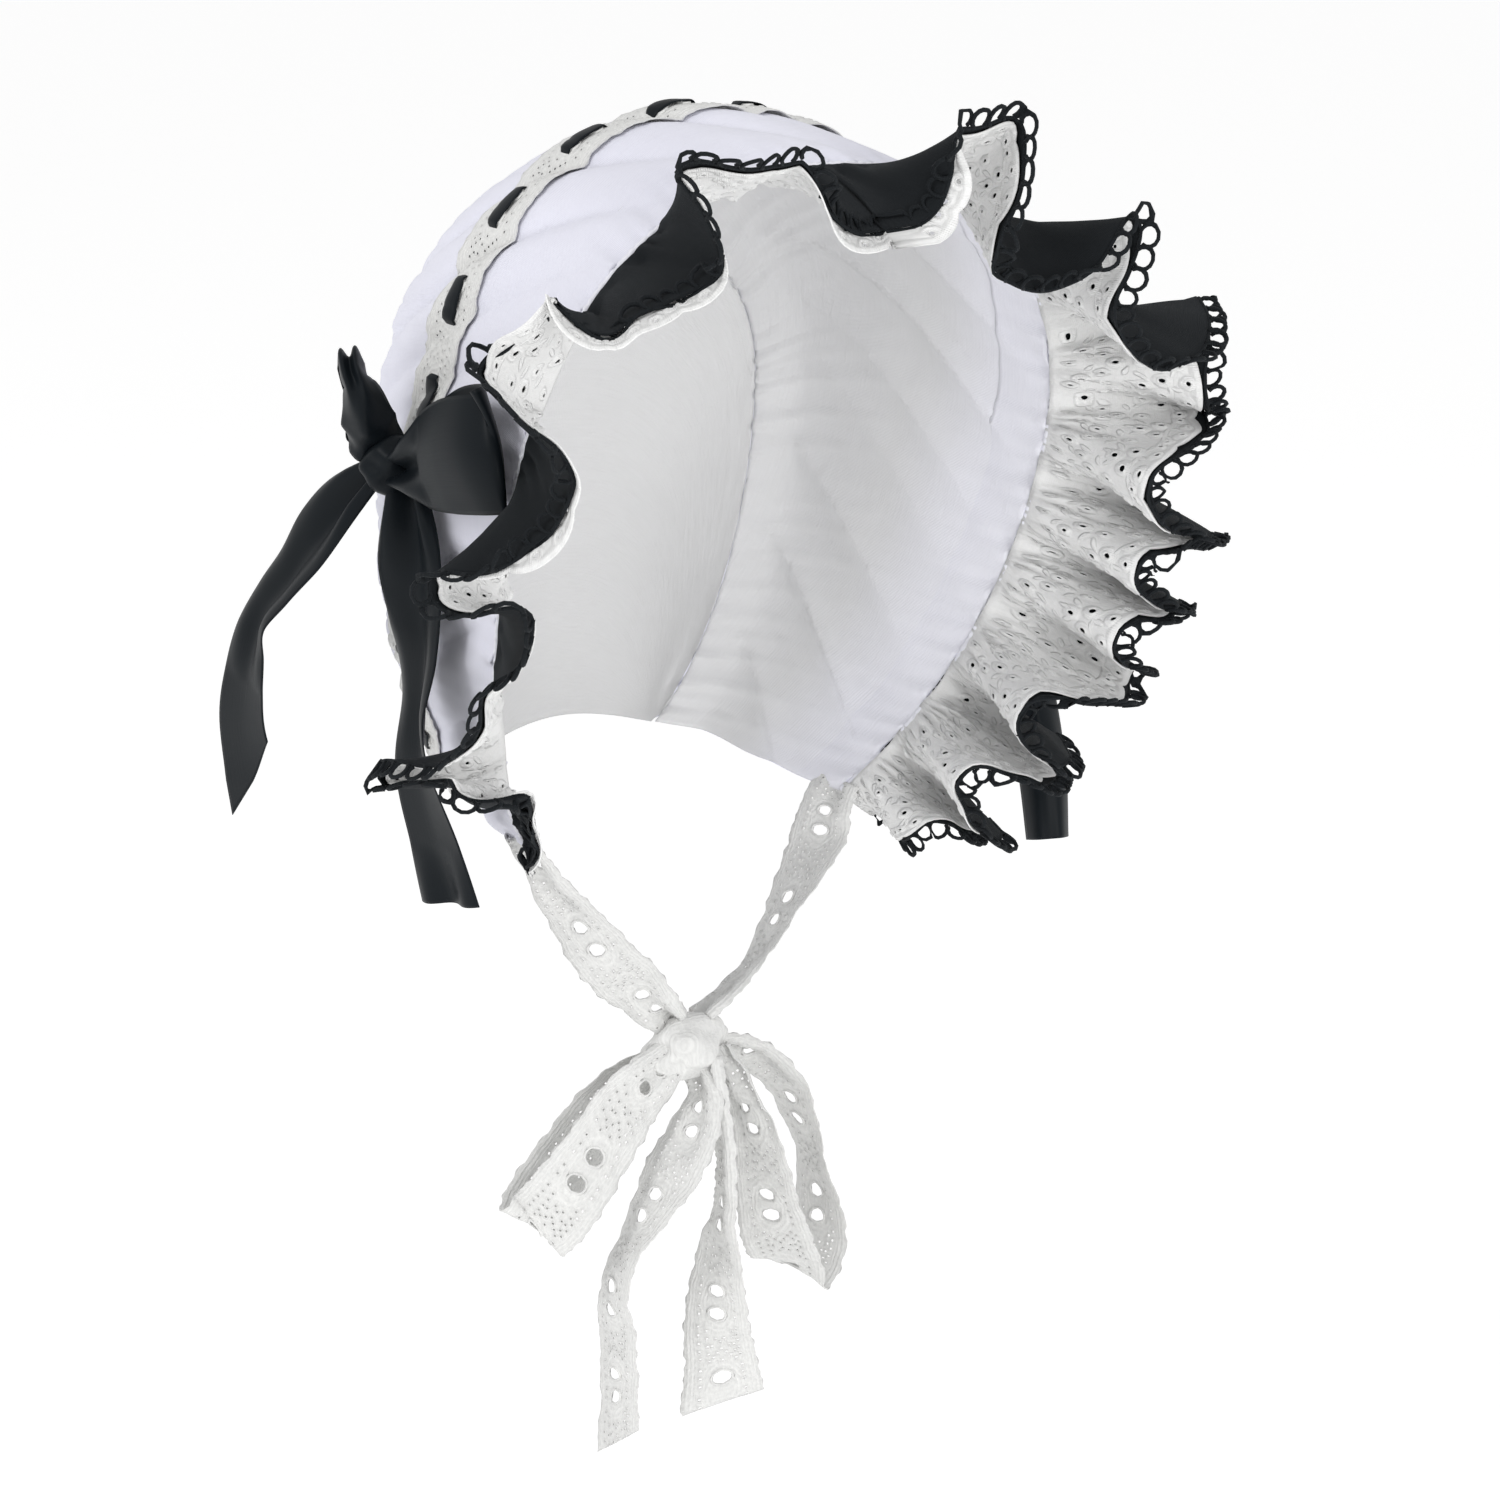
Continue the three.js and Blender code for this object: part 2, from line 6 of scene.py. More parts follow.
import bmesh
import bpy
import numpy as np
from mathutils import Matrix, Vector


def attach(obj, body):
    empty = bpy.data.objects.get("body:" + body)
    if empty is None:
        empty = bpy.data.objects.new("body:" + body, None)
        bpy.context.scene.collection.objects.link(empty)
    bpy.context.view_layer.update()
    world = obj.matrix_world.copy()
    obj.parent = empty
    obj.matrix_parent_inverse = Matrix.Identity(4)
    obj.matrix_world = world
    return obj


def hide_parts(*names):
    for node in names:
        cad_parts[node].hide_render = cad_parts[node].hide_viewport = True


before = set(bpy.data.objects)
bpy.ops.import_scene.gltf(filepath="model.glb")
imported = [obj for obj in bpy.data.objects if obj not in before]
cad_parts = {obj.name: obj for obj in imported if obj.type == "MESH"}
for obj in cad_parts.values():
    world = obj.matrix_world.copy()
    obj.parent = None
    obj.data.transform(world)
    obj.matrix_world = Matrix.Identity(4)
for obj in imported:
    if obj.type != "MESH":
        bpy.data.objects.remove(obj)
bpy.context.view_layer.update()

# Lengths are in millimetres up to the point where a piece's mesh is made, which is in metres.
MM = 0.001
MM_IN_CM = 10  # UV maps are in centimetres

# -------- camera, floor and light

AZIMUTH = math.radians(-35)
ELEVATION = math.radians(15)
DISTANCE = 1.683
LENS = 105
AIM_RIGHT = 0.0108  # the camera's axis passes the origin this far to the right
AIM_BELOW = 0.2454
FLOOR = -0.70


def link(thing):
    bpy.context.scene.collection.objects.link(thing)


def add_camera():
    back = Vector((math.sin(AZIMUTH) * math.cos(ELEVATION), -math.cos(AZIMUTH) * math.cos(ELEVATION),
                   math.sin(ELEVATION)))
    right = Vector((math.cos(AZIMUTH), math.sin(AZIMUTH), 0))
    up = back.cross(right)
    camera = bpy.data.objects.new("camera", bpy.data.cameras.new("camera"))
    camera.data.lens = LENS
    place = DISTANCE * back + AIM_RIGHT * right - AIM_BELOW * up
    camera.matrix_world = Matrix((right, up, back)).transposed().to_4x4()
    camera.matrix_world.translation = place
    link(camera)
    bpy.context.scene.camera = camera


def add_lamp(name, place, target, size, watts):
    lamp = bpy.data.objects.new(name, bpy.data.lights.new(name, "AREA"))
    lamp.data.shape = "DISK"
    lamp.data.size = size
    lamp.data.energy = watts
    lamp.location = place
    lamp.rotation_euler = (Vector(target) - Vector(place)).to_track_quat("-Z", "Y").to_euler()
    link(lamp)


add_camera()
bpy.context.scene.view_settings.view_transform = "Standard"

# -------- numbers along tables


def unit(vectors):
    return vectors / np.maximum(np.linalg.norm(vectors, axis=-1, keepdims=True), 1e-12)


def dot(a, b):
    return (a * b).sum(-1, keepdims=True)


def smooth(t):
    return t * t * (3 - 2 * t)


class Rows:
    """A table with named columns, read at any place on a smooth curve through its rows."""

    def __init__(self, columns, *rows):
        self.columns = dict(zip(columns.split(), np.array(rows, float).T))
        self.places = self.columns.pop("at", np.linspace(0, 1, len(rows)))

    def steps(self, place):
        """The row before each place, and how far each is towards the next row."""
        place = np.clip(place, self.places[0], self.places[-1])
        i = np.clip(np.searchsorted(self.places, place, side="right") - 1, 0, len(self.places) - 2)
        return i, (place - self.places[i]) / (self.places[i + 1] - self.places[i])

    def at(self, place):
        i, t = self.steps(place)
        ends = np.pad(self.places, 1, mode="edge")
        run = ends[2:] - ends[:-2]
        span = self.places[i + 1] - self.places[i]
        row = SimpleNamespace()
        for name, values in self.columns.items():
            ends = np.pad(values, 1, mode="edge")
            slope = (ends[2:] - ends[:-2]) / run
            rise = smooth(t) * (values[i + 1] - values[i])
            lean = t * (1 - t) ** 2 * slope[i] - t * t * (1 - t) * slope[i + 1]
            setattr(row, name, values[i] + rise + lean * span)
        return row


def lengths_along(curve, places):
    """How far along a curve each place is."""
    points = curve(places)
    return np.concatenate([[0], np.cumsum(np.linalg.norm(np.diff(points, axis=0), axis=1))])


def ripple(x, wavelength, seed=0.0):
    """An uneven wave between about -1 and 1: cloth gathers that never quite repeat."""
    turn = 2 * np.pi * x / wavelength
    return (0.6 * np.sin(turn + seed) + 0.35 * np.sin(turn * 0.61 + 2.1 * seed + 1.3)
            + 0.15 * np.sin(turn * 1.53 + 3.7 * seed + 0.4))


# -------- the hood's surface

# Sections from the front seam (at 0) to the back panel's seam (at 1)
HOOD = Rows(
    "at top_y top_z half_width wide_z foot_half foot_y foot_z sweep",
    (0.00, -62, -14, 126, -138, 76, 24, -288, 2.0),
    (0.30, -25, -4, 121, -134, 74, 50, -288, 2.0),
    (0.60, 25, 0, 115, -128, 71, 82, -285, 1.8),
    (0.85, 80, -22, 106, -128, 64, 108, -279, 1.3),
    (1.00, 98, -52, 88, -132, 45, 117, -274, 1.3),
)
ARCH_POWER = 0.92
LOWER_TURN = math.radians(62)
PANEL_BULGE = 14
NAPE_BACK = 6
NAPE_RISE = 8


def hood(p, q):
    """Points of the hood's middle surface: p runs back from the front seam, q from foot to foot."""
    s = HOOD.at(p)
    a = np.abs(q)
    arch = np.clip(a, 0, 0.5) * np.pi
    lower = np.clip(a - 0.5, 0, 0.5) * 2 * LOWER_TURN
    inward = (1 - np.cos(lower)) / (1 - math.cos(LOWER_TURN))
    x = np.where(a <= 0.5, s.half_width * np.sin(arch) ** ARCH_POWER,
                 s.half_width - (s.half_width - s.foot_half) * inward)
    z = np.where(a <= 0.5, s.wide_z + (s.top_z - s.wide_z) * np.maximum(np.cos(arch), 0) ** ARCH_POWER,
                 s.wide_z - (s.wide_z - s.foot_z) * np.sin(lower) / math.sin(LOWER_TURN))
    drop = np.maximum((s.top_z - z) / (s.top_z - s.foot_z), 0)
    return np.stack([np.sign(q) * x, s.top_y + (s.foot_y - s.top_y) * drop ** s.sweep, z], -1)


def hood_frame(p, q):
    """Where a place of the hood is, and which way is down, forward and outward there."""
    step = 0.004
    p, q = np.broadcast_arrays(np.asarray(p, float), np.asarray(q, float))
    side = np.where(q < 0, -1.0, 1.0)[..., None]
    near = np.clip(q, -1 + step, 1 - step)
    back = np.maximum(p, step)
    down = unit(hood(p, near + step) - hood(p, near - step)) * side
    forward = hood(back - step, near) - hood(back + step, near)
    forward = unit(forward - dot(forward, down) * down)
    out = unit(np.cross(forward, down)) * side
    return SimpleNamespace(point=hood(p, q), down=down, forward=forward, out=out)


# -------- the frill's surface

SEAM_GAP = 2.0
FRILL_DEPTH = 60
FULL_SWING = 60
LAYER_SPACING = 1.6
FOLD_REST = 0.04  # the share of each fold, at both ends, where it keeps its direction
TIP_ROUNDING = 0.15  # how far each fold leans over, which makes its tips wide and round
SEAM_REACH = 360  # from the top of the front seam to a foot
LEAST_SWING = -0.25  # how far a fold may sag towards the top
STRAIGHT = 0.01  # the least curl, in degrees
CUT_MEASURED = 0.95  # how far down the frill its cut length is measured

# Folds from the foot on the wearer's right (at -1) over the top to the other foot (at 1)
FOLDS = Rows(
    "at flare curl slip sag reach",
    (-1.00, 55, 0, 0, 0, 12), (-0.93, 10, 0, -40, 0, 20),
    (-0.87, 8, -10, -70, 4, 30), (-0.82, 55, 10, -58, 4, 37),
    (-0.775, 95, 20, -8, 4, 48), (-0.685, 33, 0, -32, 2, 50),
    (-0.60, 14, -10, -30, 4, 57), (-0.505, 52, 10, -2, 20, 60),
    (-0.43, 8, -10, 0, 20, 60), (-0.38, 58, 10, -8, 20, 54),
    (-0.315, 48, 10, -4, 20, 60), (-0.29, 18, -10, 6, 20, 60),
    (-0.215, 6, -10, 6, 20, 58), (-0.17, 48, 10, 8, 20, 58),
    (-0.095, 32, 0, 4, 20, 58), (-0.01, -6, -10, 2, 20, 60),
    (0.075, 34, 10, -12, 20, 58), (0.115, 40, 10, -6, 20, 58),
    (0.16, -20, -10, -4, 20, 60), (0.255, 24, 10, -2, 20, 60),
    (0.315, -10, -10, 0, 20, 60), (0.39, 64, 10, 0, 20, 60),
    (0.42, 30, 0, 0, 20, 60), (0.455, 60, 10, 4, 20, 60),
    (0.49, -6, -10, -6, 20, 60), (0.53, 54, 10, 12, 8, 74),
    (0.575, 0, -10, -6, 20, 60), (0.61, 56, 10, 8, 6, 72),
    (0.645, 4, -10, -6, 20, 60), (0.685, 56, 10, 8, 4, 68),
    (0.745, -20, -10, -8, 20, 60), (0.80, 74, 10, 4, 8, 60),
    (0.86, -20, -10, -12, 20, 60), (0.905, 80, 10, 4, 8, 58),
    (0.955, 20, -10, -6, 20, 36), (1.00, 90, 0, -6, 6, 20),
)


def frill(q, t):
    """Points between the frill's two layers: t is 0 at the root and 1 at the black layer's edge."""
    q, t = np.broadcast_arrays(np.asarray(q, float), np.asarray(t, float))
    i, part = FOLDS.steps(q)
    ease = smooth(np.clip((part - FOLD_REST) / (1 - 2 * FOLD_REST), 0, 1))
    fold = {name: values[i] + (values[i + 1] - values[i]) * ease for name, values in FOLDS.columns.items()}
    before, after = FOLDS.places[i], FOLDS.places[i + 1]
    right_side = before + after <= 0
    lower = np.where(right_side, i, i + 1)
    upper = np.where(right_side, i + 1, i)
    flare, sag = FOLDS.columns["flare"], FOLDS.columns["sag"]
    swing = (flare[lower] - flare[upper]) / FULL_SWING
    overhang = sag[lower] * np.sin(np.pi * part) * np.clip(swing, LEAST_SWING, 1)
    change = np.minimum(np.abs(swing), 1)
    lean = change * np.sin(2 * np.pi * part) * TIP_ROUNDING * SEAM_REACH * (after - before)
    at = hood_frame(0, q)
    start = np.radians(fold["flare"] - fold["curl"] / 2)
    turn = np.where(np.abs(fold["curl"]) < STRAIGHT, STRAIGHT, fold["curl"]) * np.pi / 180
    ahead = (np.sin(start + turn * t) - np.sin(start)) / turn
    aside = (np.cos(start) - np.cos(start + turn * t)) / turn
    slip = (fold["slip"] * t * t + overhang * (t * t - 0.8 * t * (1 - t))) * fold["reach"] / FRILL_DEPTH
    slip = slip + lean * t * t * np.where(right_side, -1, 1)
    return (at.point + (SEAM_GAP + fold["reach"] * ahead)[..., None] * at.forward
            + (fold["reach"] * aside)[..., None] * at.out + slip[..., None] * at.down)


# Where the black edge is turned up
TUCKS = Rows(
    "at tuck",
    (-1.00, 1), (-0.89, 1), (-0.85, 0), (-0.48, 0), (-0.455, 0.8), (-0.435, 0.8),
    (-0.415, 0), (-0.385, 0), (-0.355, 1), (-0.22, 1), (-0.20, 0), (-0.07, 0),
    (-0.04, 1), (0.03, 1), (0.06, 0), (1.00, 0),
)

FRILL_PLACES = np.linspace(-1, 1, 6001)
FRILL_LENGTHS = lengths_along(lambda q: frill(q, CUT_MEASURED), FRILL_PLACES)
FRILL_LENGTH = FRILL_LENGTHS[-1]


def frill_place(x):
    return np.interp(x, FRILL_LENGTHS, FRILL_PLACES)


def frill_cloth(x, y):
    """The frill as cut cloth: x along its edge and y from the root, both in cloth millimetres."""
    return frill(frill_place(x), y / FRILL_DEPTH)


def tuck(x):
    """1 where the black edge is turned up under the white one, and 0 where it stands out past it."""
    return TUCKS.at(frill_place(x)).tuck


def frill_puckers(x, y):
    """Gathers where the frill is drawn up on its seam, and a soft waver at its edge."""
    y = np.clip(y, 0, None)
    gathered = np.clip(y / 6, 0, 1)
    root = 3.0 * ripple(x, 18) * np.exp(-y / 14)
    creases = 2.6 * np.abs(ripple(x + 0.35 * y, 62, 1.0)) * np.exp(-y / 40)
    edge = 0.9 * ripple(x - 0.2 * y, 31, 2.0) * (y / FRILL_DEPTH) ** 1.5
    return gathered * (root + creases + edge)


# -------- flat cloth and how it is bent


def new_mesh(name, bm):
    mesh = bpy.data.meshes.new(name)
    bm.to_mesh(mesh)
    bm.free()
    return mesh


def move(bm, *way):
    bmesh.ops.translate(bm, verts=bm.verts, vec=way)


def cut_cloth(length, width, cell, middle=False, rows=None):
    """A flat rectangle of cloth in about square cells, x along it and y across it."""
    bm = bmesh.new()
    columns, rows = round(length / cell), rows or round(width / cell)
    bmesh.ops.create_grid(bm, x_segments=columns, y_segments=rows, size=0.5)
    move(bm, 0.5, 0 if middle else 0.5, 0)
    bmesh.ops.scale(bm, verts=bm.verts, vec=(length, width, 1))
    return bm


def punch(bm, spots, cell, span, rings):
    """Opens holes in a cut cloth. A spot is a corner of the grid; its hole takes span by span cells, and
    each ring (along, across, height) is a step in from the cells to the hole's own edge."""
    low = Vector([min(v.co[k] for v in bm.verts) for k in range(2)])
    inside = [k - span // 2 + 1 for k in range(span - 1)]
    wanted = {(i + di, j + dj) for i, j in spots for di in inside for dj in inside}
    corners = [v for v in bm.verts
               if (round((v.co.x - low.x) / cell[0]), round((v.co.y - low.y) / cell[1])) in wanted]
    bmesh.ops.dissolve_verts(bm, verts=corners)
    holes = [f for f in bm.faces if len(f.verts) > 4]
    middles = [f.calc_center_median() for f in holes]
    for along, across, height in rings:
        bmesh.ops.inset_individual(bm, faces=holes, thickness=0.1 * cell[0], use_even_offset=False)
        for face, middle in zip(holes, middles):
            for v in face.verts:
                away = v.co - middle
                turn = math.atan2(away.y, away.x)
                v.co = middle + Vector((along * math.cos(turn), across * math.sin(turn), height))
    bmesh.ops.delete(bm, geom=holes, context="FACES")


def bend(surface, flat):
    """Carries flat points onto surface(x, y), each at its own height above it."""
    step = 0.3
    x, y, z = np.array(flat, float).T
    along = surface(x + step, y) - surface(x - step, y)
    across = surface(x, y + step) - surface(x, y - step)
    return surface(x, y) + z[:, None] * unit(np.cross(along, across))


def make_piece(name, bm, surface=None, relief=None, height=0.0, materials=(), wall=0.0, first=0.0):
    """Makes a piece from a flat bmesh in millimetres. Its UV map keeps its cut size in centimetres, with
    the pattern starting at first."""
    layer = bm.loops.layers.uv.new("cloth")
    for face in bm.faces:
        face.smooth = True
        for loop in face.loops:
            loop[layer].uv = (loop.vert.co.xy - Vector((first, 0))) / MM_IN_CM
    mesh = new_mesh(name, bm)
    points = np.zeros(len(mesh.vertices) * 3)
    mesh.vertices.foreach_get("co", points)
    points = points.reshape(-1, 3)
    if surface:
        points[:, 2] += height + (relief(points[:, 0], points[:, 1]) if relief else 0)
        points = bend(surface, points)
    mesh.vertices.foreach_set("co", (points * MM).ravel())
    piece = bpy.data.objects.new(name, mesh)
    link(piece)
    for material in materials:
        mesh.materials.append(material)
    if wall:
        shell = piece.modifiers.new("wall", "SOLIDIFY")
        shell.thickness = wall * MM
        shell.offset = 0
        shell.use_even_offset = False
        shell.material_offset = 1 if len(materials) > 1 else 0
    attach(piece, "root")
    return piece


# -------- materials


class Socket:
    """A shader node's output. Arithmetic on it adds Math nodes."""

    def __init__(self, shader, output):
        self.shader = shader
        self.output = output

    def math(self, operation, *values):
        return self.shader.node("Math", {"operation": operation}, *values)

    def __add__(self, other):
        return self.math("ADD", self, other)

    def __sub__(self, other):
        return self.math("SUBTRACT", self, other)

    def __rsub__(self, other):
        return self.math("SUBTRACT", other, self)

    def __mul__(self, other):
        return self.math("MULTIPLY", self, other)

    def __truediv__(self, other):
        return self.math("DIVIDE", self, other)

    def __rtruediv__(self, other):
        return self.math("DIVIDE", other, self)

    def __pow__(self, other):
        return self.math("POWER", self, other)

    __radd__ = __add__
    __rmul__ = __mul__

    def sine(self):
        return self.math("SINE", self)

    def size(self):
        return self.math("ABSOLUTE", self)

    def fraction(self):
        return self.math("FRACT", self)

    def larger(self, other):
        return self.math("MAXIMUM", self, other)

    def waves(self, pitch):
        """Even waves between 0 and 1, one in each pitch."""
        return (self * (2 * math.pi / pitch)).sine() * 0.5 + 0.5

    def between(self, low, high):
        """0 up to low, 1 from high on, and smooth in between."""
        return self.shader.node("MapRange", {"interpolation_type": "SMOOTHSTEP"}, self, low, high)


class Shader:
    """A material on a Principled surface. node adds any node; the other methods are the uses made of it."""

    def __init__(self, name, colour, roughness, **sockets):
        self.material = bpy.data.materials.new(name)
        self.material.use_nodes = True
        self.tree = self.material.node_tree
        self.surface = self.tree.nodes["Principled BSDF"]
        self.surface.inputs["Base Color"].default_value = (*colour, 1)
        self.surface.inputs["Roughness"].default_value = roughness
        for socket, value in sockets.items():
            self.surface.inputs[socket.replace("_", " ")].default_value = value

    def plug(self, entry, value):
        if isinstance(value, Socket):
            self.tree.links.new(value.output, entry)
        elif value is not None:
            entry.default_value = value

    def node(self, kind, settings, *values, take=0):
        node = self.tree.nodes.new("ShaderNode" + kind)
        for setting, value in settings.items():
            setattr(node, setting, value)
        for entry, value in zip(node.inputs, values):
            self.plug(entry, value)
        return Socket(self, node.outputs[take])

    def cloth(self):
        """Cloth coordinates in centimetres: along and across."""
        uv = self.node("UVMap", {"uv_map": "cloth"})
        return [self.node("SeparateXYZ", {}, uv, take=k) for k in range(2)]

    def noise(self, scale, detail, space="object", stretch=(1, 1, 1)):
        """Soft noise between 0 and 1, in the object's space or in the cloth's own."""
        if space == "object":
            place = self.node("TexCoord", {}, take="Object")
        else:
            place = self.node("UVMap", {"uv_map": "cloth"})
        place = self.node("Mapping", {}, place, None, None, stretch)
        return self.node("TexNoise", {}, place, None, scale, detail, take="Fac")

    def mix(self, amount, first, second):
        """Two colours mixed by amount."""
        node = self.tree.nodes.new("ShaderNodeMix")
        node.data_type = "RGBA"
        for name, value in (("Factor", amount), ("A", first), ("B", second)):
            entry = [e for e in node.inputs if e.name == name and e.enabled][0]
            self.plug(entry, (*value, 1) if isinstance(value, tuple) else value)
        return Socket(self, [o for o in node.outputs if o.enabled][0])

    def bump(self, height, depth, strength=1.0):
        """Raises the surface by height (0 to 1) times depth in millimetres."""
        normal = self.node("Bump", {}, strength, depth * MM, None, height)
        self.plug(self.surface.inputs["Normal"], normal)

    def set(self, name, value):
        self.plug(self.surface.inputs[name], value)


COTTON_THREAD = 0.6
EYELET_THREAD = 0.75
CORD_TWIST = 0.9
HEM_STITCH = 0.9
LACE_RINGS = 1.7
LACE_EDGES = 1.5


def thread_pattern(shader, pitch):
    """Over-and-under threads of a plain weave, pitch in millimetres, from 0 in the gaps to 1."""
    along, across = shader.cloth()
    turn = math.pi * MM_IN_CM / pitch
    return (along * turn).sine().size() * 0.5 + (across * turn).sine().size() * 0.5


def plain_cotton(name, light, dark, front=None):
    """Plain-weave cotton: fine threads, slubs and faint clouds. front is painted light near the front seam.
    """
    shader = Shader(name, light, 0.92, Specular_IOR_Level=0.25, Sheen_Weight=0.25, Sheen_Roughness=0.5)
    threads = thread_pattern(shader, COTTON_THREAD)
    slubs = shader.noise(1.6, 3, "cloth", (0.4, 6, 1))
    cloud = shader.noise(16, 3)
    amount = (cloud * 0.6 + slubs * 0.4 + threads * 0.15).between(0.3, 0.8)
    colour = shader.mix(amount, dark, light)
    # Painted light: within a few centimetres of the front seam the colour turns to front, lighter and
    # bluer, where light falls in at the opening.
    if front:
        colour = shader.mix((shader.cloth()[1] + cloud * 2).between(3, 8.5), front, colour)
    shader.set("Base Color", colour)
    shader.bump(threads * 0.5 + slubs * 0.9 + cloud * 0.6, 0.25)
    return shader.material


SCALLOPS = 64
SCALLOP_CELLS = 12
FRILL_CELL = FRILL_LENGTH / (SCALLOPS * SCALLOP_CELLS)
HEM_SCALLOP = 3.6
EYELET_DEPTH = 60
UNDER_SEAM = 2
BLACK_TUCK = 7
WHITE_TUCK = 2.5

# Eyelets of one scallop in cells: along it, up from the hem, and whether it is a large one
EYELETS = (
    (1, 3, 0), (4, 2, 0), (8, 2, 0), (11, 3, 0),
    (4, 6, 1), (8, 6, 1), (6, 9, 1),
    (0, 9, 0), (0, 13, 1), (3, 15, 0), (9, 15, 0),
    (6, 18, 1), (0, 20, 0),
)

# Padded leaves of one scallop: place along it and up from the hem, half length, half width and turn
LEAVES = (
    (14.5, 27.5, 4.2, 1.7, 90), (8.5, 25.0, 4.2, 1.6, 140),
    (20.5, 25.0, 4.2, 1.6, 40), (14.5, 10.5, 3.2, 1.5, 90),
    (4.5, 9.8, 3.0, 1.4, 50), (24.5, 9.8, 3.0, 1.4, 130),
    (6.0, 31.0, 3.6, 1.5, 20), (23.0, 31.0, 3.6, 1.5, 160),
    (10.5, 40.0, 3.8, 1.5, 65), (18.5, 40.0, 3.8, 1.5, 115),
    (5.0, 46.0, 3.6, 1.5, 30), (24.0, 46.0, 3.6, 1.5, 150),
)


def eyelet_cotton(repeat, depth):
    """Embroidered cotton: a thin ground with padded leaves, a rope of stitches and a stitched hem."""
    ground, thread = (0.73, 0.73, 0.725), (0.84, 0.84, 0.835)
    shader = Shader("eyelet_cotton", thread, 0.9, Specular_IOR_Level=0.25, Sheen_Weight=0.2)
    along, across = [value * MM_IN_CM for value in shader.cloth()]
    wobble = shader.noise(1.3, 1, "cloth") - 0.5
    up = depth - across + wobble * 2.4
    place = shader.node("CombineXYZ", {}, (along / repeat + wobble * 0.07).fraction() * repeat, up)
    leaves = 0.0
    for x, y, length, width, turn in LEAVES:
        leaf = shader.node("Mapping", {"vector_type": "TEXTURE"}, place, (x, y, 0),
                           (0, 0, math.radians(turn)), (length, width, 1))
        reach = shader.node("VectorMath", {"operation": "LENGTH"}, leaf, take=1)
        leaves = (1 - reach.between(0.55, 1.1)).larger(leaves)
    cell = repeat / SCALLOP_CELLS
    halos = 0.0
    for x, y, large in EYELETS:
        for shift in (0, repeat) if x < 2 else (0,):
            middle = (x * cell + shift, y * cell, 0)
            reach = shader.node("VectorMath", {"operation": "DISTANCE"}, place, middle, take=1)
            halos = (1 - (reach - large * 0.8).between(2.6, 4.3)).larger(halos)
    arch = (along * (math.pi / repeat)).sine().size()
    rope = 1 - (up - arch * 3.4 - 9.5).size().between(0.5, 1.5)
    hem = 1 - up.between(2.0, 5.0)
    stitches = along.waves(HEM_STITCH)
    threads = thread_pattern(shader, EYELET_THREAD)
    fluff = shader.noise(5, 4, "cloth")
    raised = leaves.larger(rope * 0.8).larger(hem).larger(halos * 0.9)
    # Broad soft patches darken the ground towards grey, as painted shade of crumpled cloth.
    painted_shade_patches = shader.noise(0.45, 2, "cloth")
    light = raised * 0.55 + (fluff - 0.5) * 0.7 + (painted_shade_patches - 0.4) * 0.8 + threads * 0.1 + 0.15
    shader.set("Base Color", shader.mix(light.between(0, 0.9), ground, thread))
    shader.bump(raised * (0.8 + stitches * 0.15) + threads * 0.1 + fluff * 0.4, 0.9)
    return shader.material


def satin():
    """Satin ribbon: soft broad sheen, threads running along it."""
    least = 0.36
    shader = Shader("black_satin", (0.007, 0.0095, 0.012), least, Specular_IOR_Level=0.1)
    grain = shader.noise(3, 3, "cloth", (0.15, 8, 1))
    shader.set("Roughness", least + grain * 0.1)
    shader.bump(grain, 0.05)
    return shader.material


def black_cloth(name, pitch):
    """Dull black cotton, its threads or twist that pitch apart."""
    shader = Shader(name, (0.01, 0.012, 0.014), 0.85, Specular_IOR_Level=0.15, Sheen_Weight=0.04,
                    Sheen_Roughness=0.4, Sheen_Tint=(0.6, 0.65, 0.7, 1))
    threads = thread_pattern(shader, pitch)
    cloud = shader.noise(30, 2)
    colour = shader.mix(threads * 0.5 + cloud * 0.5, (0.006, 0.0075, 0.009), (0.014, 0.0165, 0.019))
    shader.set("Base Color", colour)
    shader.bump(threads, 0.2)
    return shader.material


TAPE_WIDTH = 28
TAPE_CELL = 1.75
TAPE_REPEAT = 23  # cells from one pair of holes to the next
PAIR = (8, 14)  # the cells where the two holes of a pair have their middles


def lace_thread():
    """Beading lace: a soft thread ground, with raised stitches round its holes and at its edges."""
    ground, thread = (0.66, 0.66, 0.65), (0.80, 0.80, 0.785)
    shader = Shader("lace_thread", thread, 0.92, Specular_IOR_Level=0.2, Sheen_Weight=0.2)
    along, across = [value * MM_IN_CM for value in shader.cloth()]
    repeat = TAPE_REPEAT * TAPE_CELL
    wobble = (shader.noise(2, 2, "cloth") - 0.5) * 2
    from_pair = ((along / repeat - sum(PAIR) / 2 / TAPE_REPEAT + 0.5).fraction() - 0.5) * repeat
    ring = (from_pair * from_pair * 0.35 + across * across) ** 0.5 + wobble
    edge = across.size() + wobble * 0.6
    rings = ring.waves(LACE_RINGS) * ring.between(3.5, 4.5) * (1 - ring.between(8, 9.5))
    edges = edge.waves(LACE_EDGES) * edge.between(9, 10)
    fluff = shader.noise(6, 4, "cloth")
    hairs = shader.noise(14, 2, "cloth", (0.35, 1.6, 1))
    raised = rings.larger(edges)
    light = (raised * 0.25 + (fluff - 0.5) * 1.1 + (hairs - 0.5) * 0.7 + 0.35).between(0, 1)
    shader.set("Base Color", shader.mix(light, ground, thread))
    shader.bump(raised * 0.35 + fluff + hairs * 0.5, 0.5)
    return shader.material


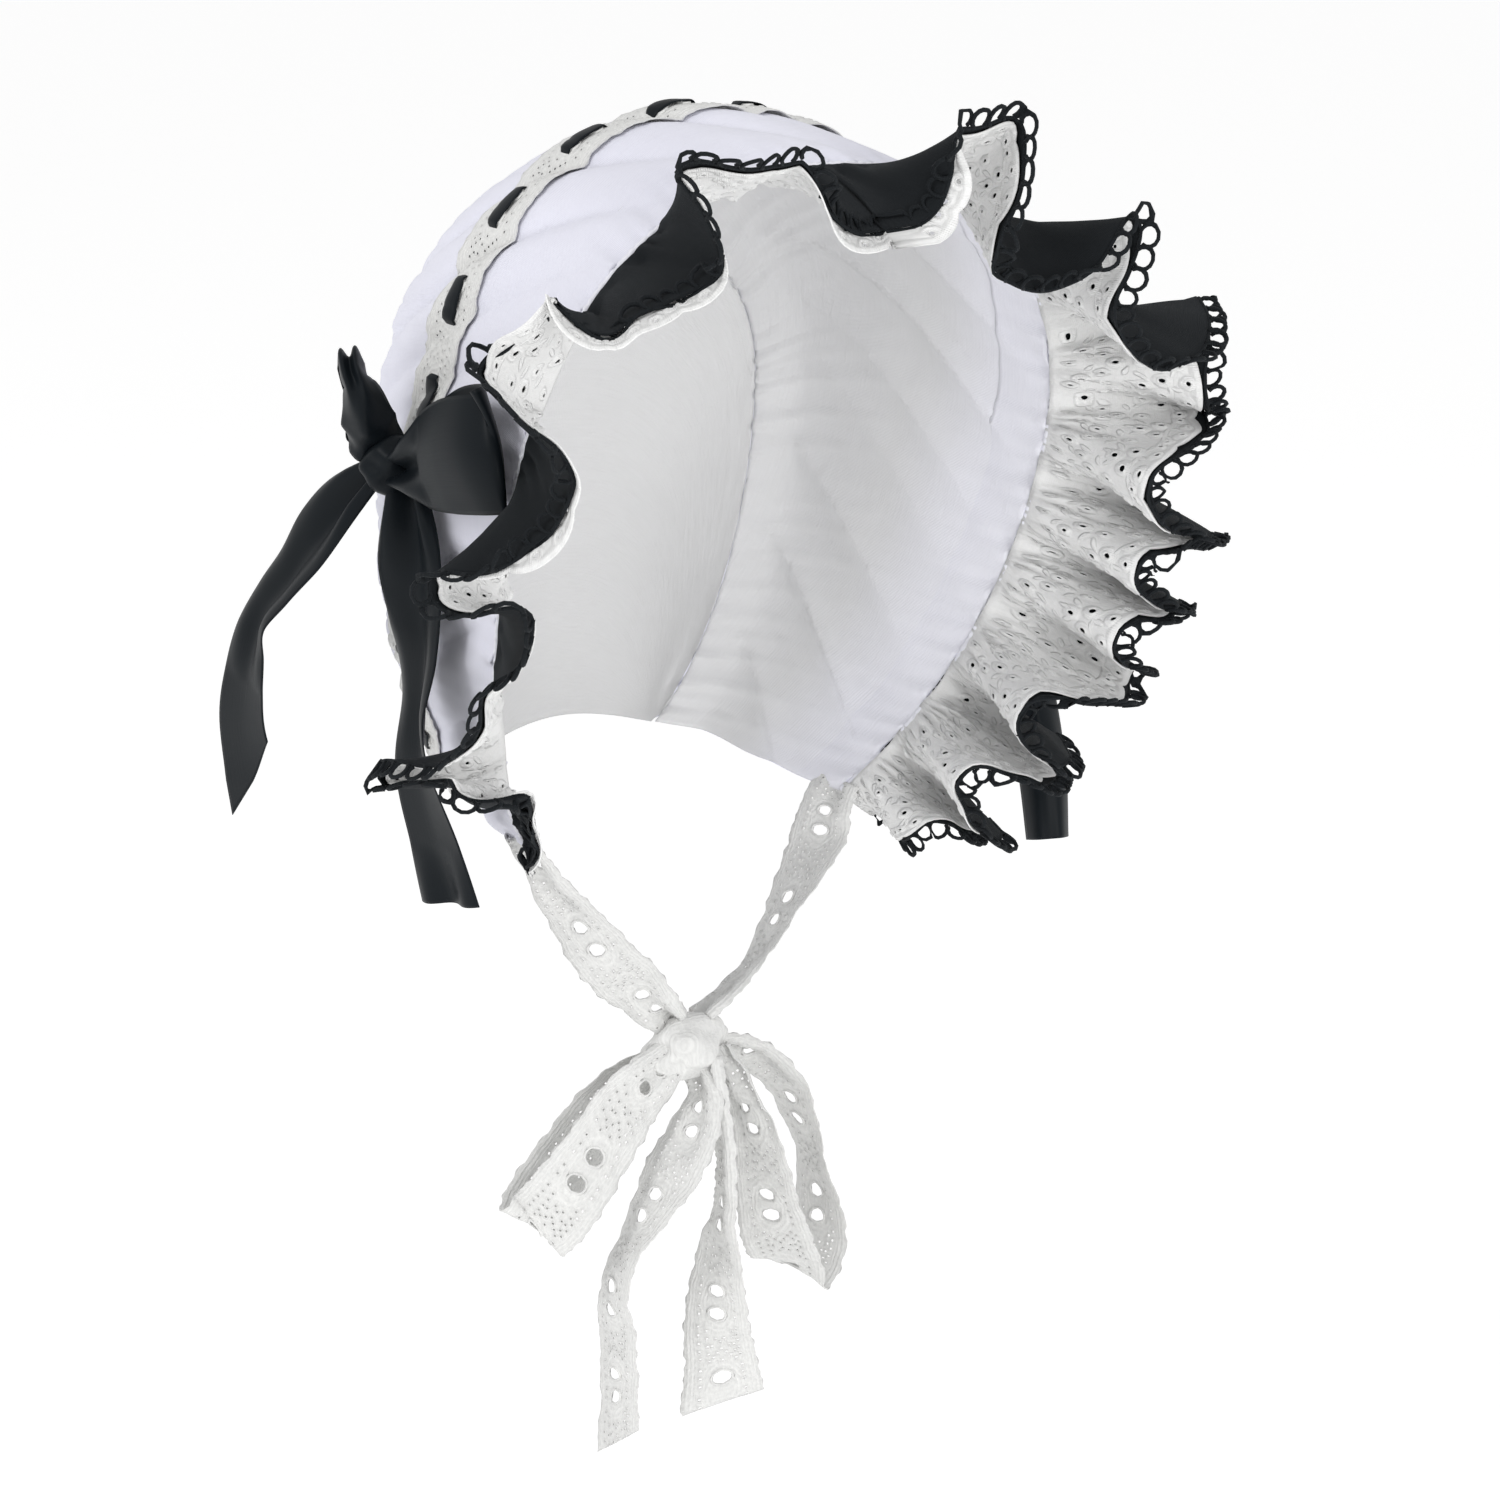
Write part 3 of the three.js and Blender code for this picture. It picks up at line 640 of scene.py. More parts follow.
COTTON = plain_cotton("cotton", (0.80, 0.80, 0.89), (0.76, 0.76, 0.86))
LINING = plain_cotton("lining", (0.74, 0.74, 0.74), (0.70, 0.70, 0.70))
# The crown lining's third colour is painted light: lighter and bluer near the front seam, where light falls
# in at the opening.
CROWN_LINING = plain_cotton("crown_lining_painted_light_front", (0.74, 0.74, 0.745), (0.70, 0.70, 0.705), (0.85, 0.85, 0.905))
# The facing's cotton is a lighter copy of the outside cotton, as painted light where light falls in at the
# opening. The front binding uses it too.
FACING_PAINTED_LIGHT = plain_cotton("facing_cotton_painted_light", (0.86, 0.86, 0.92), (0.82, 0.82, 0.89))
EYELET = eyelet_cotton(SCALLOP_CELLS * FRILL_CELL, EYELET_DEPTH)
BLACK = black_cloth("black_cotton", COTTON_THREAD)
CORD = black_cloth("black_cord", CORD_TWIST)
SATIN = satin()
LACE = lace_thread()

# -------- crown, facing and back panel

HOOD_WALL = 0.8
THIN_WALL = 0.5  # of the facing, the black frill and the lace
CROWN_CELL = 2.3
CROWN_ROWS = 70
FACING_WIDTH = 29
LOOSE_PLACE = 0.25  # where the facing's edge isn't caught into the lining
CUT_LINE = 0.3  # how far back the crown's cut length is measured
ARCH_PLACES = np.linspace(-1, 1, 1001)
CROWN_LENGTHS = lengths_along(lambda q: hood(CUT_LINE, q), ARCH_PLACES)
CROWN_LENGTH = CROWN_LENGTHS[-1]
DEPTH_PLACES = np.linspace(0, 1, 21)
DEPTH_STEPS = np.linalg.norm(np.diff([hood(p, ARCH_PLACES) for p in DEPTH_PLACES], axis=0), axis=-1)
CROWN_DEPTHS = DEPTH_STEPS.sum(0)
DEPTH_SHARES = np.concatenate([[0], np.cumsum(DEPTH_STEPS.sum(1))]) / DEPTH_STEPS.sum()


def crown_depth(x):
    """From the front seam to the back seam, x along from one foot."""
    return np.interp(x, CROWN_LENGTHS, CROWN_DEPTHS)


def crown_cloth(x, y):
    return hood(np.interp(y / crown_depth(x), DEPTH_SHARES, DEPTH_PLACES),
                np.interp(x, CROWN_LENGTHS, ARCH_PLACES))


def crown_gathers(x, y):
    """Fine puckers behind the front seam and long soft gathers before the back seam."""
    depth = crown_depth(x)
    from_back = depth - y
    front = 1.6 * ripple(x, 10) * np.exp(-y / 14) + 1.2 * ripple(x + 0.5 * y, 24, 3) * np.exp(-y / 28)
    uneven = 0.7 + 0.4 * ripple(x, 83, 2)
    creases = (1 - np.abs(ripple(x + 0.1 * from_back, 27, 2.6))) ** 4
    back = 1.6 * ripple(x, 12, 1.0) * np.exp(-from_back / 20) - 3.6 * creases * np.exp(-from_back / 42)
    dents = -5 * (1 - np.abs(ripple(x + 0.7 * y, 75, 4.0))) ** 2 * np.sin(np.pi * np.clip(y / depth, 0, 1))
    return front + uneven * back + dents


def facing_lie(x, y):
    """The facing lies on the lining, and its edge is caught into it almost everywhere."""
    aside = np.abs(2 * x / CROWN_LENGTH - 1 - LOOSE_PLACE)
    caught = np.clip((aside - 0.12) / 0.2, 0, 1) * (y / FACING_WIDTH) ** 3
    return crown_gathers(x, y) - HOOD_WALL + 0.9 * caught


def crown_relief(p, q):
    """How far the crown's gathers stand out at a place of the hood."""
    x = np.interp(q, ARCH_PLACES, CROWN_LENGTHS)
    return crown_gathers(x, np.interp(p, DEPTH_PLACES, DEPTH_SHARES) * crown_depth(x))


def add_crown():
    bm = cut_cloth(CROWN_LENGTH, 1, CROWN_CELL, rows=CROWN_ROWS)
    for v in bm.verts:
        v.co.y *= float(crown_depth(v.co.x))
    crown = make_piece("crown_cloth", bm, crown_cloth, crown_gathers, 0, (COTTON, CROWN_LINING), HOOD_WALL)
    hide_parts("crown")
    bm = cut_cloth(CROWN_LENGTH, FACING_WIDTH, CROWN_CELL)
    facing = make_piece("front_facing", bm, crown_cloth, facing_lie, 0, (FACING_PAINTED_LIGHT,), THIN_WALL)


PANEL_WIDTH = 330
PANEL_HEIGHT = 215
PANEL_CELL = 3.0
PANEL_SHARE = 0.985
PANEL_INSET = 1.0


def back_panel(x, y):
    """x follows the arch of the seam, y runs from the seam down to the nape."""
    q = np.clip(2 * x / PANEL_WIDTH - 1, -1, 1) * PANEL_SHARE
    v = y / PANEL_HEIGHT
    at = hood_frame(1.0, q)
    foot = hood(np.array([1.0]), np.array([1.0]))[0]
    bow = np.cos(q * np.pi / 2)
    nape = np.stack([(foot[0] - PANEL_INSET) * q, foot[1] + NAPE_BACK * bow, foot[2] + NAPE_RISE * bow], -1)
    rim = at.point - PANEL_INSET * at.out
    bulge = PANEL_BULGE * np.sin(np.pi * np.clip(v, 0, 1) ** 0.8) * bow
    return rim + (nape - rim) * v[..., None] + bulge[..., None] * np.array([0, 1.0, 0])


def add_back():
    bm = cut_cloth(PANEL_WIDTH, PANEL_HEIGHT, PANEL_CELL)

    def gathers(x, y):
        return 0.5 * ripple(x, 15, 0.7) * np.exp(-y / 10) * np.clip(y / 4, 0, 1)

    panel = make_piece("back_cloth", bm, back_panel, gathers, 0, (COTTON, LINING), HOOD_WALL)
    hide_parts("back_panel")


# -------- frill and picots

EYELET_WALL = 0.6
BLACK_CELL = 2.6
# Radius along and across, and height, from the rim of a hole inwards
SMALL_HOLE = ((2.1, 2.1, 0.1), (1.7, 1.7, 0.6), (1.15, 1.15, 0.2))
LARGE_HOLE = ((2.42, 2.42, 0.1), (2.1, 2.1, 0.7), (1.6, 1.6, 0.2))


def eyelet_surface(x, y):
    """Shortened along its scallops, and longer where the black edge is turned up."""
    part = (x / (SCALLOP_CELLS * FRILL_CELL)) % 1
    share = np.clip(y / EYELET_DEPTH, 0, None)
    scallop = HEM_SCALLOP * (1 - np.sin(np.pi * part) ** 0.7)
    return frill_cloth(x, y - scallop * share ** 4 + WHITE_TUCK * tuck(x) * share)


def black_surface(x, y):
    return frill_cloth(x, y - BLACK_TUCK * tuck(x) * np.clip(y / FRILL_DEPTH, 0, None) ** 2)


def add_frill():
    rows = round((EYELET_DEPTH + UNDER_SEAM) / FRILL_CELL)
    columns = SCALLOPS * SCALLOP_CELLS
    bm = cut_cloth(FRILL_LENGTH, rows * FRILL_CELL, FRILL_CELL)
    for large, rings in enumerate((SMALL_HOLE, LARGE_HOLE)):
        spots = [(start + along, rows - up)
                 for start in range(0, columns, SCALLOP_CELLS)
                 for along, up, big in EYELETS
                 if big == large and start + along > 0]
        punch(bm, spots, (FRILL_CELL, FRILL_CELL), 2, rings)
    move(bm, 0, EYELET_DEPTH - rows * FRILL_CELL, 0)
    eyelets = make_piece("eyelet_cloth", bm, eyelet_surface, frill_puckers, LAYER_SPACING / 2, (EYELET,),
                         EYELET_WALL)
    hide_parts("eyelet_frill")

    bm = cut_cloth(FRILL_LENGTH, FRILL_DEPTH + UNDER_SEAM, BLACK_CELL)
    move(bm, 0, -UNDER_SEAM, 0)
    black = make_piece("black_cloth", bm, black_surface, frill_puckers, -LAYER_SPACING / 2, (BLACK,),
                       THIN_WALL)
    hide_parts("black_frill")


PICOT_PITCH = 7.8
PICOT_RADIUS = 3.8
PICOT_CORD = 0.85
PICOT_TURN = math.radians(285)
PICOT_SIDES = 5
PICOT_STEPS = 10
PICOT_MIDDLE = 3.4  # past the black edge
PICOT_SPREAD = 0.75  # how far the loops stand outwards where the edge isn't turned up
TUCK_TURN = 2.6
EDGING_RADIUS = 0.75
EDGING_CUTS = 700
BINDING_RADIUS = 1.5
BINDING_CUTS = 900
BINDING_AHEAD = 0.6


def picot():
    """One C-shaped loop of cord, open towards the edge."""
    bm = bmesh.new()
    ring = bmesh.ops.create_circle(bm, segments=PICOT_SIDES, radius=PICOT_CORD)["verts"]
    bmesh.ops.rotate(bm, verts=ring, cent=(0, 0, 0), matrix=Matrix.Rotation(math.pi / 2, 3, "X"))
    bmesh.ops.translate(bm, verts=ring, vec=(PICOT_RADIUS, 0, 0))
    bmesh.ops.rotate(bm, verts=ring, cent=(0, 0, 0),
                     matrix=Matrix.Rotation((math.pi - PICOT_TURN) / 2, 3, "Z"))
    bmesh.ops.spin(bm, geom=bm.verts[:] + bm.edges[:], cent=(0, 0, 0), axis=(0, 0, 1), dvec=(0, 0, 0),
                   angle=PICOT_TURN, steps=PICOT_STEPS, use_duplicate=False)
    bmesh.ops.holes_fill(bm, edges=bm.edges, sides=PICOT_SIDES)
    bmesh.ops.recalc_face_normals(bm, faces=bm.faces)
    return new_mesh("picot", bm)


def picot_surface(x, y):
    """A strip that goes on squarely from the black edge, y past it, and turns up with it."""
    step = 0.5
    edge = FRILL_DEPTH + 0 * x
    at = black_surface(x, edge)
    along = unit(black_surface(x + step, edge) - black_surface(x - step, edge))
    across = at - black_surface(x, edge - step)
    across = unit(across - dot(across, along) * along)
    out = hood_frame(0, frill_place(x)).out
    spread = (PICOT_SPREAD * (1 - tuck(x)))[..., None]
    across = unit(across * (1 - spread) + (out - dot(out, along) * along) * spread)
    turn = (TUCK_TURN * tuck(x) + 0.3 * ripple(x, 90, 5))[..., None]
    return at + y[..., None] * (across * np.cos(turn) - np.cross(along, across) * np.sin(turn))


def picot_row():
    """C-shaped loops of cord in a row, each a little different, over the cord that edges the frill."""
    loop = picot()
    bm = bmesh.new()
    count = int(FRILL_LENGTH / PICOT_PITCH)
    draw = np.random.default_rng(7)
    for k in range(count):
        middle = Vector(((k + 0.5) * FRILL_LENGTH / count, PICOT_MIDDLE + draw.uniform(-0.4, 0.4), 0))
        bm.from_mesh(loop)
        bm.verts.ensure_lookup_table()
        size = draw.uniform(0.92, 1.12)
        turn = Matrix.Rotation(draw.uniform(0.08, 0.16), 3, "Y")
        turn = turn @ Matrix.Rotation(draw.uniform(-0.3, 0.3), 3, "Z")
        for v in bm.verts[-len(loop.vertices):]:
            v.co = turn @ (v.co * size) + middle
    return bm


def rod(length, radius, cuts):
    """A straight round cord along x."""
    bm = bmesh.new()
    bmesh.ops.create_cone(bm, segments=6, radius1=radius, radius2=radius, depth=length)
    bmesh.ops.subdivide_edges(bm, edges=[e for e in bm.edges if e.calc_length() > length / 2], cuts=cuts)
    bmesh.ops.rotate(bm, verts=bm.verts, cent=(0, 0, 0), matrix=Matrix.Rotation(math.pi / 2, 3, "Y"))
    move(bm, length / 2, 0, 0)
    return bm


def add_trim():
    def ripples(x, y):
        return frill_puckers(x, FRILL_DEPTH + 0 * y)

    loops = make_piece("picot_loops", picot_row(), picot_surface, ripples, -LAYER_SPACING / 2, (CORD,))
    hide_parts("picot_trim")
    bm = rod(FRILL_LENGTH, EDGING_RADIUS, EDGING_CUTS)
    cord = make_piece("edging_cord", bm, picot_surface, ripples, -LAYER_SPACING / 2, (CORD,))


def seam_line(x, y):
    """Along the front seam, y forward from it."""
    at = hood_frame(0, np.interp(x, CROWN_LENGTHS, ARCH_PLACES))
    return at.point + (y + BINDING_AHEAD)[..., None] * at.forward


def add_binding():
    """The rolled seam where the frill is drawn up, with its small stitches."""
    def knots(x, y):
        return 0.35 * ripple(x, 3.4, 1.0)

    bm = rod(CROWN_LENGTH, BINDING_RADIUS, BINDING_CUTS)
    binding = make_piece("front_binding", bm, seam_line, knots, 0, (FACING_PAINTED_LIGHT,))


# -------- lace tape

# Pinholes as cells along one repeat and across the tape: two rows on each side, and a cluster
OUTER_PINHOLES = [(i, j) for i in (0, 2, 5, 7, 9, 12, 14, 17, 19, 21) for j in (3, 12)]
INNER_PINHOLES = [(i, j) for i in (1, 3, 18, 20, 22) for j in (5, 11)]
CLUSTER = [(20, 7), (21, 8), (20, 9), (22, 6), (22, 10), (0, 8), (1, 7), (1, 9), (2, 6), (2, 10), (3, 8)]
PAIR_SPAN = 4
PAIR_MARGIN = 3  # cells between a pair's hole and the tape's end
PAIR_HOLE = ((3.45, 4.3, 0.1), (3.35, 4.1, 0.7), (3.15, 3.85, 0.8), (2.95, 3.6, 0.2))
PINHOLE = ((0.86, 0.35), (0.62, 0.1))


def lace_tape(length, first):
    """Flat beading lace of that length: pairs of holes, rows of pinholes and a softly waved edge.
    first is how far along it the pattern starts."""
    columns = round(length / TAPE_CELL)
    rows = round(TAPE_WIDTH / TAPE_CELL)
    cell = (length / columns, TAPE_WIDTH / rows)
    bm = cut_cloth(length, TAPE_WIDTH, TAPE_CELL, middle=True)
    starts = range(round(first / cell[0]) - TAPE_REPEAT, columns, TAPE_REPEAT)
    pairs = [(s + k, rows // 2) for s in starts for k in PAIR
             if PAIR_MARGIN < s + k < columns - PAIR_MARGIN]
    punch(bm, pairs, cell, PAIR_SPAN, PAIR_HOLE)
    pins = {(s + i, j) for s in starts for i, j in OUTER_PINHOLES + INNER_PINHOLES + CLUSTER}
    low = TAPE_WIDTH / 2
    holes = []
    for face in bm.faces:
        middle = face.calc_center_median()
        spot = (int(middle.x / cell[0]), int((middle.y + low) / cell[1]))
        if spot in pins and len(face.verts) == 4 and face.calc_area() > 0.9 * cell[0] * cell[1]:
            holes.append(face)
    middles = [face.calc_center_median() for face in holes]
    for radius, height in PINHOLE:
        bmesh.ops.inset_individual(bm, faces=holes, thickness=0.1, use_even_offset=False)
        for face, middle in zip(holes, middles):
            for v in face.verts:
                v.co = middle + (v.co - middle).normalized() * radius + Vector((0, 0, height))
    bmesh.ops.delete(bm, geom=holes, context="FACES")
    for v in bm.verts:
        edge = abs(v.co.y) / low
        wave = 0.3 * math.sin(v.co.x * 0.62) + 0.3 * math.sin(v.co.x * 1.13 + v.co.y)
        wave += 0.2 * math.sin(v.co.x * 2.9)
        v.co.y += math.copysign(1, v.co.y) * wave * edge ** 5
    return bm


# -------- lace band and its ribbon

STITCH_PITCH = 40
STITCH_START = 26
STITCH_MARGIN = 14  # from the last stitch to the band's end
RIBBON_WIDTH = 7.5
RIBBON_CELL = 1.2
RIBBON_WALL = 0.3
STITCH_HALF = 8  # from a stitch's middle to where it dives
DIVE = 3
END_TURN = 4  # what the band and its ribbon are short of at the ends
TAPE_HEIGHT = 2.0
UNDER_HEIGHT = 1.2
OVER_HEIGHT = 3.8


def tape_place(q):
    return 0.56 + 0.22 * q * q


TAPE_LENGTHS = lengths_along(lambda q: hood(tape_place(q), q), ARCH_PLACES)
BAND_LENGTH = TAPE_LENGTHS[-1] - END_TURN


def tape_spot(s, y):
    """The place of the hood under a place of the band: s from the crown's middle, y towards the back."""
    q = np.interp(s + TAPE_LENGTHS[-1] / 2, TAPE_LENGTHS, ARCH_PLACES)
    p = tape_place(q)
    step = 0.01
    stretch = np.linalg.norm(hood(p + step, q) - hood(p - step, q), axis=-1) / (2 * step)
    return p + y / stretch, q


def add_band():
    before = math.floor((BAND_LENGTH / 2 + STITCH_START - STITCH_MARGIN) / STITCH_PITCH)
    first_stitch = STITCH_START - STITCH_PITCH * before
    start = -BAND_LENGTH / 2
    middle_of_pair = sum(PAIR) / 2 * TAPE_CELL

    def surface(x, y):
        return hood(*tape_spot(x + start, y))

    def lie(x, y):
        return crown_relief(*tape_spot(x + start, y)) + 0.35 * ripple(x, 21, 2)

    pattern = first_stitch - start - middle_of_pair
    bm = lace_tape(BAND_LENGTH, pattern)
    band = make_piece("lace_band_tape", bm, surface, lie, TAPE_HEIGHT, (LACE,), THIN_WALL, pattern)
    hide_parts("lace_band")
    repeat = TAPE_REPEAT * BAND_LENGTH / round(BAND_LENGTH / TAPE_CELL)

    def away(x):
        place = (x + start - first_stitch) / repeat
        return np.abs(place - np.round(place)) * repeat

    def weave(x, y):
        low = smooth(np.clip((away(x) - STITCH_HALF) / DIVE, 0, 1))
        return OVER_HEIGHT + (UNDER_HEIGHT - OVER_HEIGHT) * low - 0.02 * y * y + lie(x, y)

    bm = cut_cloth(BAND_LENGTH - 2 * END_TURN, RIBBON_WIDTH, RIBBON_CELL, middle=True)
    move(bm, END_TURN, 0, 0)
    for v in bm.verts:
        v.co.y *= 1.15 - 0.6 * min(float(away(v.co.x)) / (STITCH_HALF + DIVE), 1) ** 3
    ribbon = make_piece("ribbon_run", bm, surface, weave, 0, (SATIN,), RIBBON_WALL)
    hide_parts("threaded_ribbon")


# -------- ribbons and ties


def ribbon_rows(*rows):
    """The middle line, the direction across, the width it takes up, and the fold along its middle in
    degrees."""
    return Rows("x y z ax ay az width fold", *rows)


FRONT_LOOP = ribbon_rows(
    (-132, 33, -130, 0, 1, 9, 14, 20), (-135, 20, -128, 0, 1, 9, 19, 20),
    (-140, 1, -122, 0, 2, 9, 37, 20), (-144, -20, -116, 0, 2, 9, 46, 22),
    (-145, -40, -112, 0, 3, 9, 49, 25), (-141, -53, -109, 0, 3, 9, 50, 25),
    (-134, -54, -108, 0, 3, 9, 50, 22), (-129, -41, -109, 0, 3, 9, 46, 10),
    (-127, -16, -112, 0, 1, 9, 40, 0), (-127, 6, -118, 0, 1, 9, 28, 0),
    (-128, 25, -125, 0, 0, 1, 17, 0), (-130, 33, -130, 0, 0, 1, 12, 0),
)
FAR_FRONT_LOOP = ribbon_rows(
    (-132, 33, -130, 0, 1, 9, 14, 20), (-137, 22, -128, 0, 1, 9, 24, 20),
    (-143, 8, -124, 0, 1, 9, 34, 20), (-148, -8, -121, 0, 1, 9, 38, 22),
    (-147, -19, -119, 0, 1, 9, 38, 25), (-140, -24, -118, 0, 1, 9, 38, 25),
    (-133, -17, -118, 0, 1, 9, 38, 15), (-129, -1, -120, 0, 1, 9, 34, 0),
    (-128, 16, -124, 0, 0, 1, 22, 0), (-130, 33, -130, 0, 0, 1, 12, 0),
)
BACK_LOOP = ribbon_rows(
    (-132, 39.5, -126.5, 8, -6, 2, 16, 0), (-135, 37.5, -122, 8, -6, 2, 32, -50),
    (-140, 34.5, -114.5, 8, -6, 2, 38, -56), (-142.5, 34, -105, 8, -6, 2, 37, -64),
    (-145, 34, -96.5, 8, -6, 2, 31, -69), (-145, 38, -90.5, 8, -6, 2, 25, -67),
    (-141, 46, -86, 8, -6, 2, 22, -63), (-134, 54, -96, 8, -6, 2, 25, -67),
    (-129.5, 56, -104, 8, -6, 2, 31, -71), (-126.5, 56, -112.5, 8, -6, 2, 37, -68),
    (-126.5, 53.5, -121, 8, -6, 2, 38, -61), (-127, 49.5, -126, 8, -6, 2, 30, -56),
    (-128, 44.5, -128, 8, -6, 2, 14, 0),
)
BACK_TAIL = ribbon_rows(
    (-129, 45, -133, -4, -8, -5, 16, 0), (-137, 60, -148, -3, -8, -5, 32, -8),
    (-143, 72, -163, -3, -8, -5, 37, -10), (-149, 83, -179, -4, -8, -4, 37, -10),
    (-154, 94, -193, -4, -8, -3, 37, -8), (-157, 100, -208, -2, -9, -2, 37, -4),
    (-159, 103, -224, -1, -9, -1, 38, -3), (-160, 104, -242, 0, -9, 0, 38, -2),
    (-158, 101, -265, 1, -9, 1, 38, 0),
)
FRONT_TAIL = ribbon_rows(
    (-128, 27, -134, 4, -9, 1, 16, 0), (-128, 23, -165, 2, -9, 0, 36, -12),
    (-125, 25, -195, 0, -9, -2, 37, -14), (-121, 33, -225, -3, -9, -2, 37, -14),
    (-119, 37, -255, -1, -9, 0, 38, -10), (-115, 31, -283, 0, -9, 2, 38, -4),
    (-111, 28, -306, 1, -9, 3, 36, 0),
)
FAR_FRONT_TAIL = ribbon_rows(
    (131, 36, -139, 8, -5, 0, 18, 30), (147, 36, -168, 8, -5, 0, 36, 45),
    (170, 39, -222, 8, -5, 0, 38, 50), (178, 26, -262, 8, -5, 0, 38, 55),
    (177, 15, -293, 8, -5, 0, 36, 55), (175, 8, -322, 8, -5, 0, 34, 58),
)
RIGHT_TIE = ribbon_rows(
    (-78, 28, -285, 0, -9, 0, 24, 0), (-70, 28, -297, 1, -10, 2, 22, 0),
    (-61, 27, -312, 2, -9, 3, 26, 0), (-53, 24, -325, 3, -8, 4, 28, 0),
    (-44, 20, -339, 5, -7, 5, 28, 0), (-34, 18, -350, 5, -7, 6, 28, 0),
    (-25, 16, -360, 4, -8, 5, 26, 0), (-15, 15, -370, 6, -5, 6, 15, 0),
)
LEFT_TIE = ribbon_rows(
    (78, 28, -285, 0, -9, 0, 27, 0), (72, 28, -294, 2, -9, 0, 27, 0),
    (68, 27, -305, 3, -9, 0, 28, 0), (59, 24, -316, 2, -9, 1, 28, 0),
    (47, 21, -329, 0, -9, 2, 28, 0), (38, 20, -341, -2, -9, 2, 28, 0),
    (28, 19, -353, -2, -9, 3, 27, 0), (16, 18, -363, -1, -9, 3, 22, 0),
    (0, 16, -371, 1, -9, 1, 14, 0),
)
RIGHT_TIE_LOOP = ribbon_rows(
    (-10, 12, -380, 7, -3, -9, 14, 20), (-25, 11, -389, 6, -1, -9, 24, 10),
    (-42, 9, -400, 8, -2, -9, 29, 0), (-60, 7, -418, 9, -3, -8, 31, 0),
    (-76, 7, -434, 8, -7, -8, 32, 0), (-83, 13, -443, 8, -8, -8, 32, 0),
    (-76, 20, -437, 8, -7, -8, 31, 0), (-58, 24, -420, 9, -3, -8, 29, 0),
    (-39, 25, -403, 8, -2, -9, 27, 0), (-22, 22, -391, 6, -1, -9, 20, 10),
    (-10, 18, -384, 7, -3, -9, 12, 20),
)
LEFT_TIE_LOOP = ribbon_rows(
    (0, 19, -383, 4, -7, 6, 12, 0), (15, 20, -386, 4, -7, 6, 17, 0),
    (30, 20, -395, 4, -8, 4, 24, 0), (45, 21, -410, 2, -9, 1, 28, 0),
    (54, 22, -428, 0, -9, 0, 28, 0), (60, 21, -449, -1, -9, 0, 28, 0),
    (61, 18, -469, 2, -9, 0, 28, 0), (54, 14, -484, 6, -7, -2, 30, 0),
    (42, 9, -487, 7, -6, -4, 34, 0), (32, 5, -475, 7, -7, -2, 32, 0),
    (26, 4, -457, 5, -8, 0, 30, 0), (22, 3, -439, 3, -9, 1, 29, 0),
    (18, 4, -419, 2, -9, 1, 26, 0), (12, 7, -402, 1, -9, 3, 20, 0),
    (4, 12, -384, 4, -8, 4, 12, 0),
)
RIGHT_TIE_TAIL = ribbon_rows(
    (-5, 16, -387, 4, -9, -1, 14, 20), (-4, 10, -400, 0, -9, -1, 22, 20),
    (-13, 4, -414, 2, -9, -1, 26, 10), (-25, 1, -427, 2, -9, -2, 28, 10),
    (-35, 2, -441, 0, -9, 0, 28, 10), (-44, 5, -456, -2, -9, 1, 28, 10),
    (-50, 7, -474, -2, -9, 0, 28, 10), (-49, 8, -491, 0, -9, 0, 28, 10),
    (-48, 8, -508, 0, -9, 0, 28, 10), (-48, 8, -525, 0, -9, 0, 28, 10),
    (-48, 8, -544, 1, -9, 0, 28, 10),
)
LEFT_TIE_TAIL = ribbon_rows(
    (-1, 8, -385, 2, -9, 2, 12, 20), (0, 4, -405, -2, -9, 2, 18, 30),
    (-1, -1, -422, -3, -9, 1, 22, 30), (-2, -3, -438, -3, -9, 1, 25, 20),
    (-4, -4, -453, -2, -9, 1, 27, 10), (-5, -4, -469, 1, -9, 0, 28, 0),
    (-6, -4, -485, 4, -9, 0, 28, 0), (-6, -4, -501, 7, -8, 0, 29, 0),
    (-4, -4, -517, 8, -6, 1, 31, 0), (-3, -4, -533, 8, -5, 1, 36, 0),
)
SATIN_WIDTH = 38
SATIN_CELL = 1.6
SATIN_WALL = 0.4
BACK_CUT = -15  # how much longer one edge is than the middle at the end
RIGHT_TIE_CUT = -9
LEFT_TIE_CUT = -5
TIE_SOFTNESS = 0.03  # how round the fold along the middle is
PLEATS = 3
PLEAT_LIMIT = 3.9
DEEP_FOLD = -30  # in a deeper fold the pleats go the other way


def hang(rows, cloth_width, mirror, slant, softness):
    """The surface and length of a ribbon that follows a table. Where the table gives it less room than
    its own width, the cloth pleats."""

    def middle(u):
        row = rows.at(u)
        return np.stack([row.x * mirror, row.y, row.z], -1)

    length = lengths_along(middle, np.linspace(0, 1, 200))[-1]

    def surface(x, y):
        side = 2 * y / cloth_width
        u = x / length
        u = u + slant / length * side * np.clip(u, 0, 1) ** 6
        row = rows.at(u)
        step = 0.01
        here = np.clip(u, 0, 1)
        tangent = unit(middle(here + step) - middle(here - step))
        across = np.stack([row.ax * mirror, row.ay, row.az], -1)
        across = unit(across - dot(across, tangent) * tangent)
        face = np.cross(across, tangent) * mirror
        half = row.width / 2
        fold = np.radians(row.fold)
        spare = np.sqrt(2 * np.maximum((cloth_width / row.width) ** 2 - 1, 0))
        pleat = np.minimum(spare * row.width / (np.pi * PLEATS), PLEAT_LIMIT)
        pleat = np.where(row.fold < DEEP_FOLD, -pleat, pleat) * np.cos(np.pi * PLEATS / 2 * side)
        crease = (np.sqrt(side ** 2 + softness) - 0.5) * half * np.sin(fold)
        past = (u - here) * length
        return (middle(here) + past[..., None] * tangent
                + (side * half * np.cos(fold))[..., None] * across + (pleat + crease)[..., None] * face)

    return surface, length


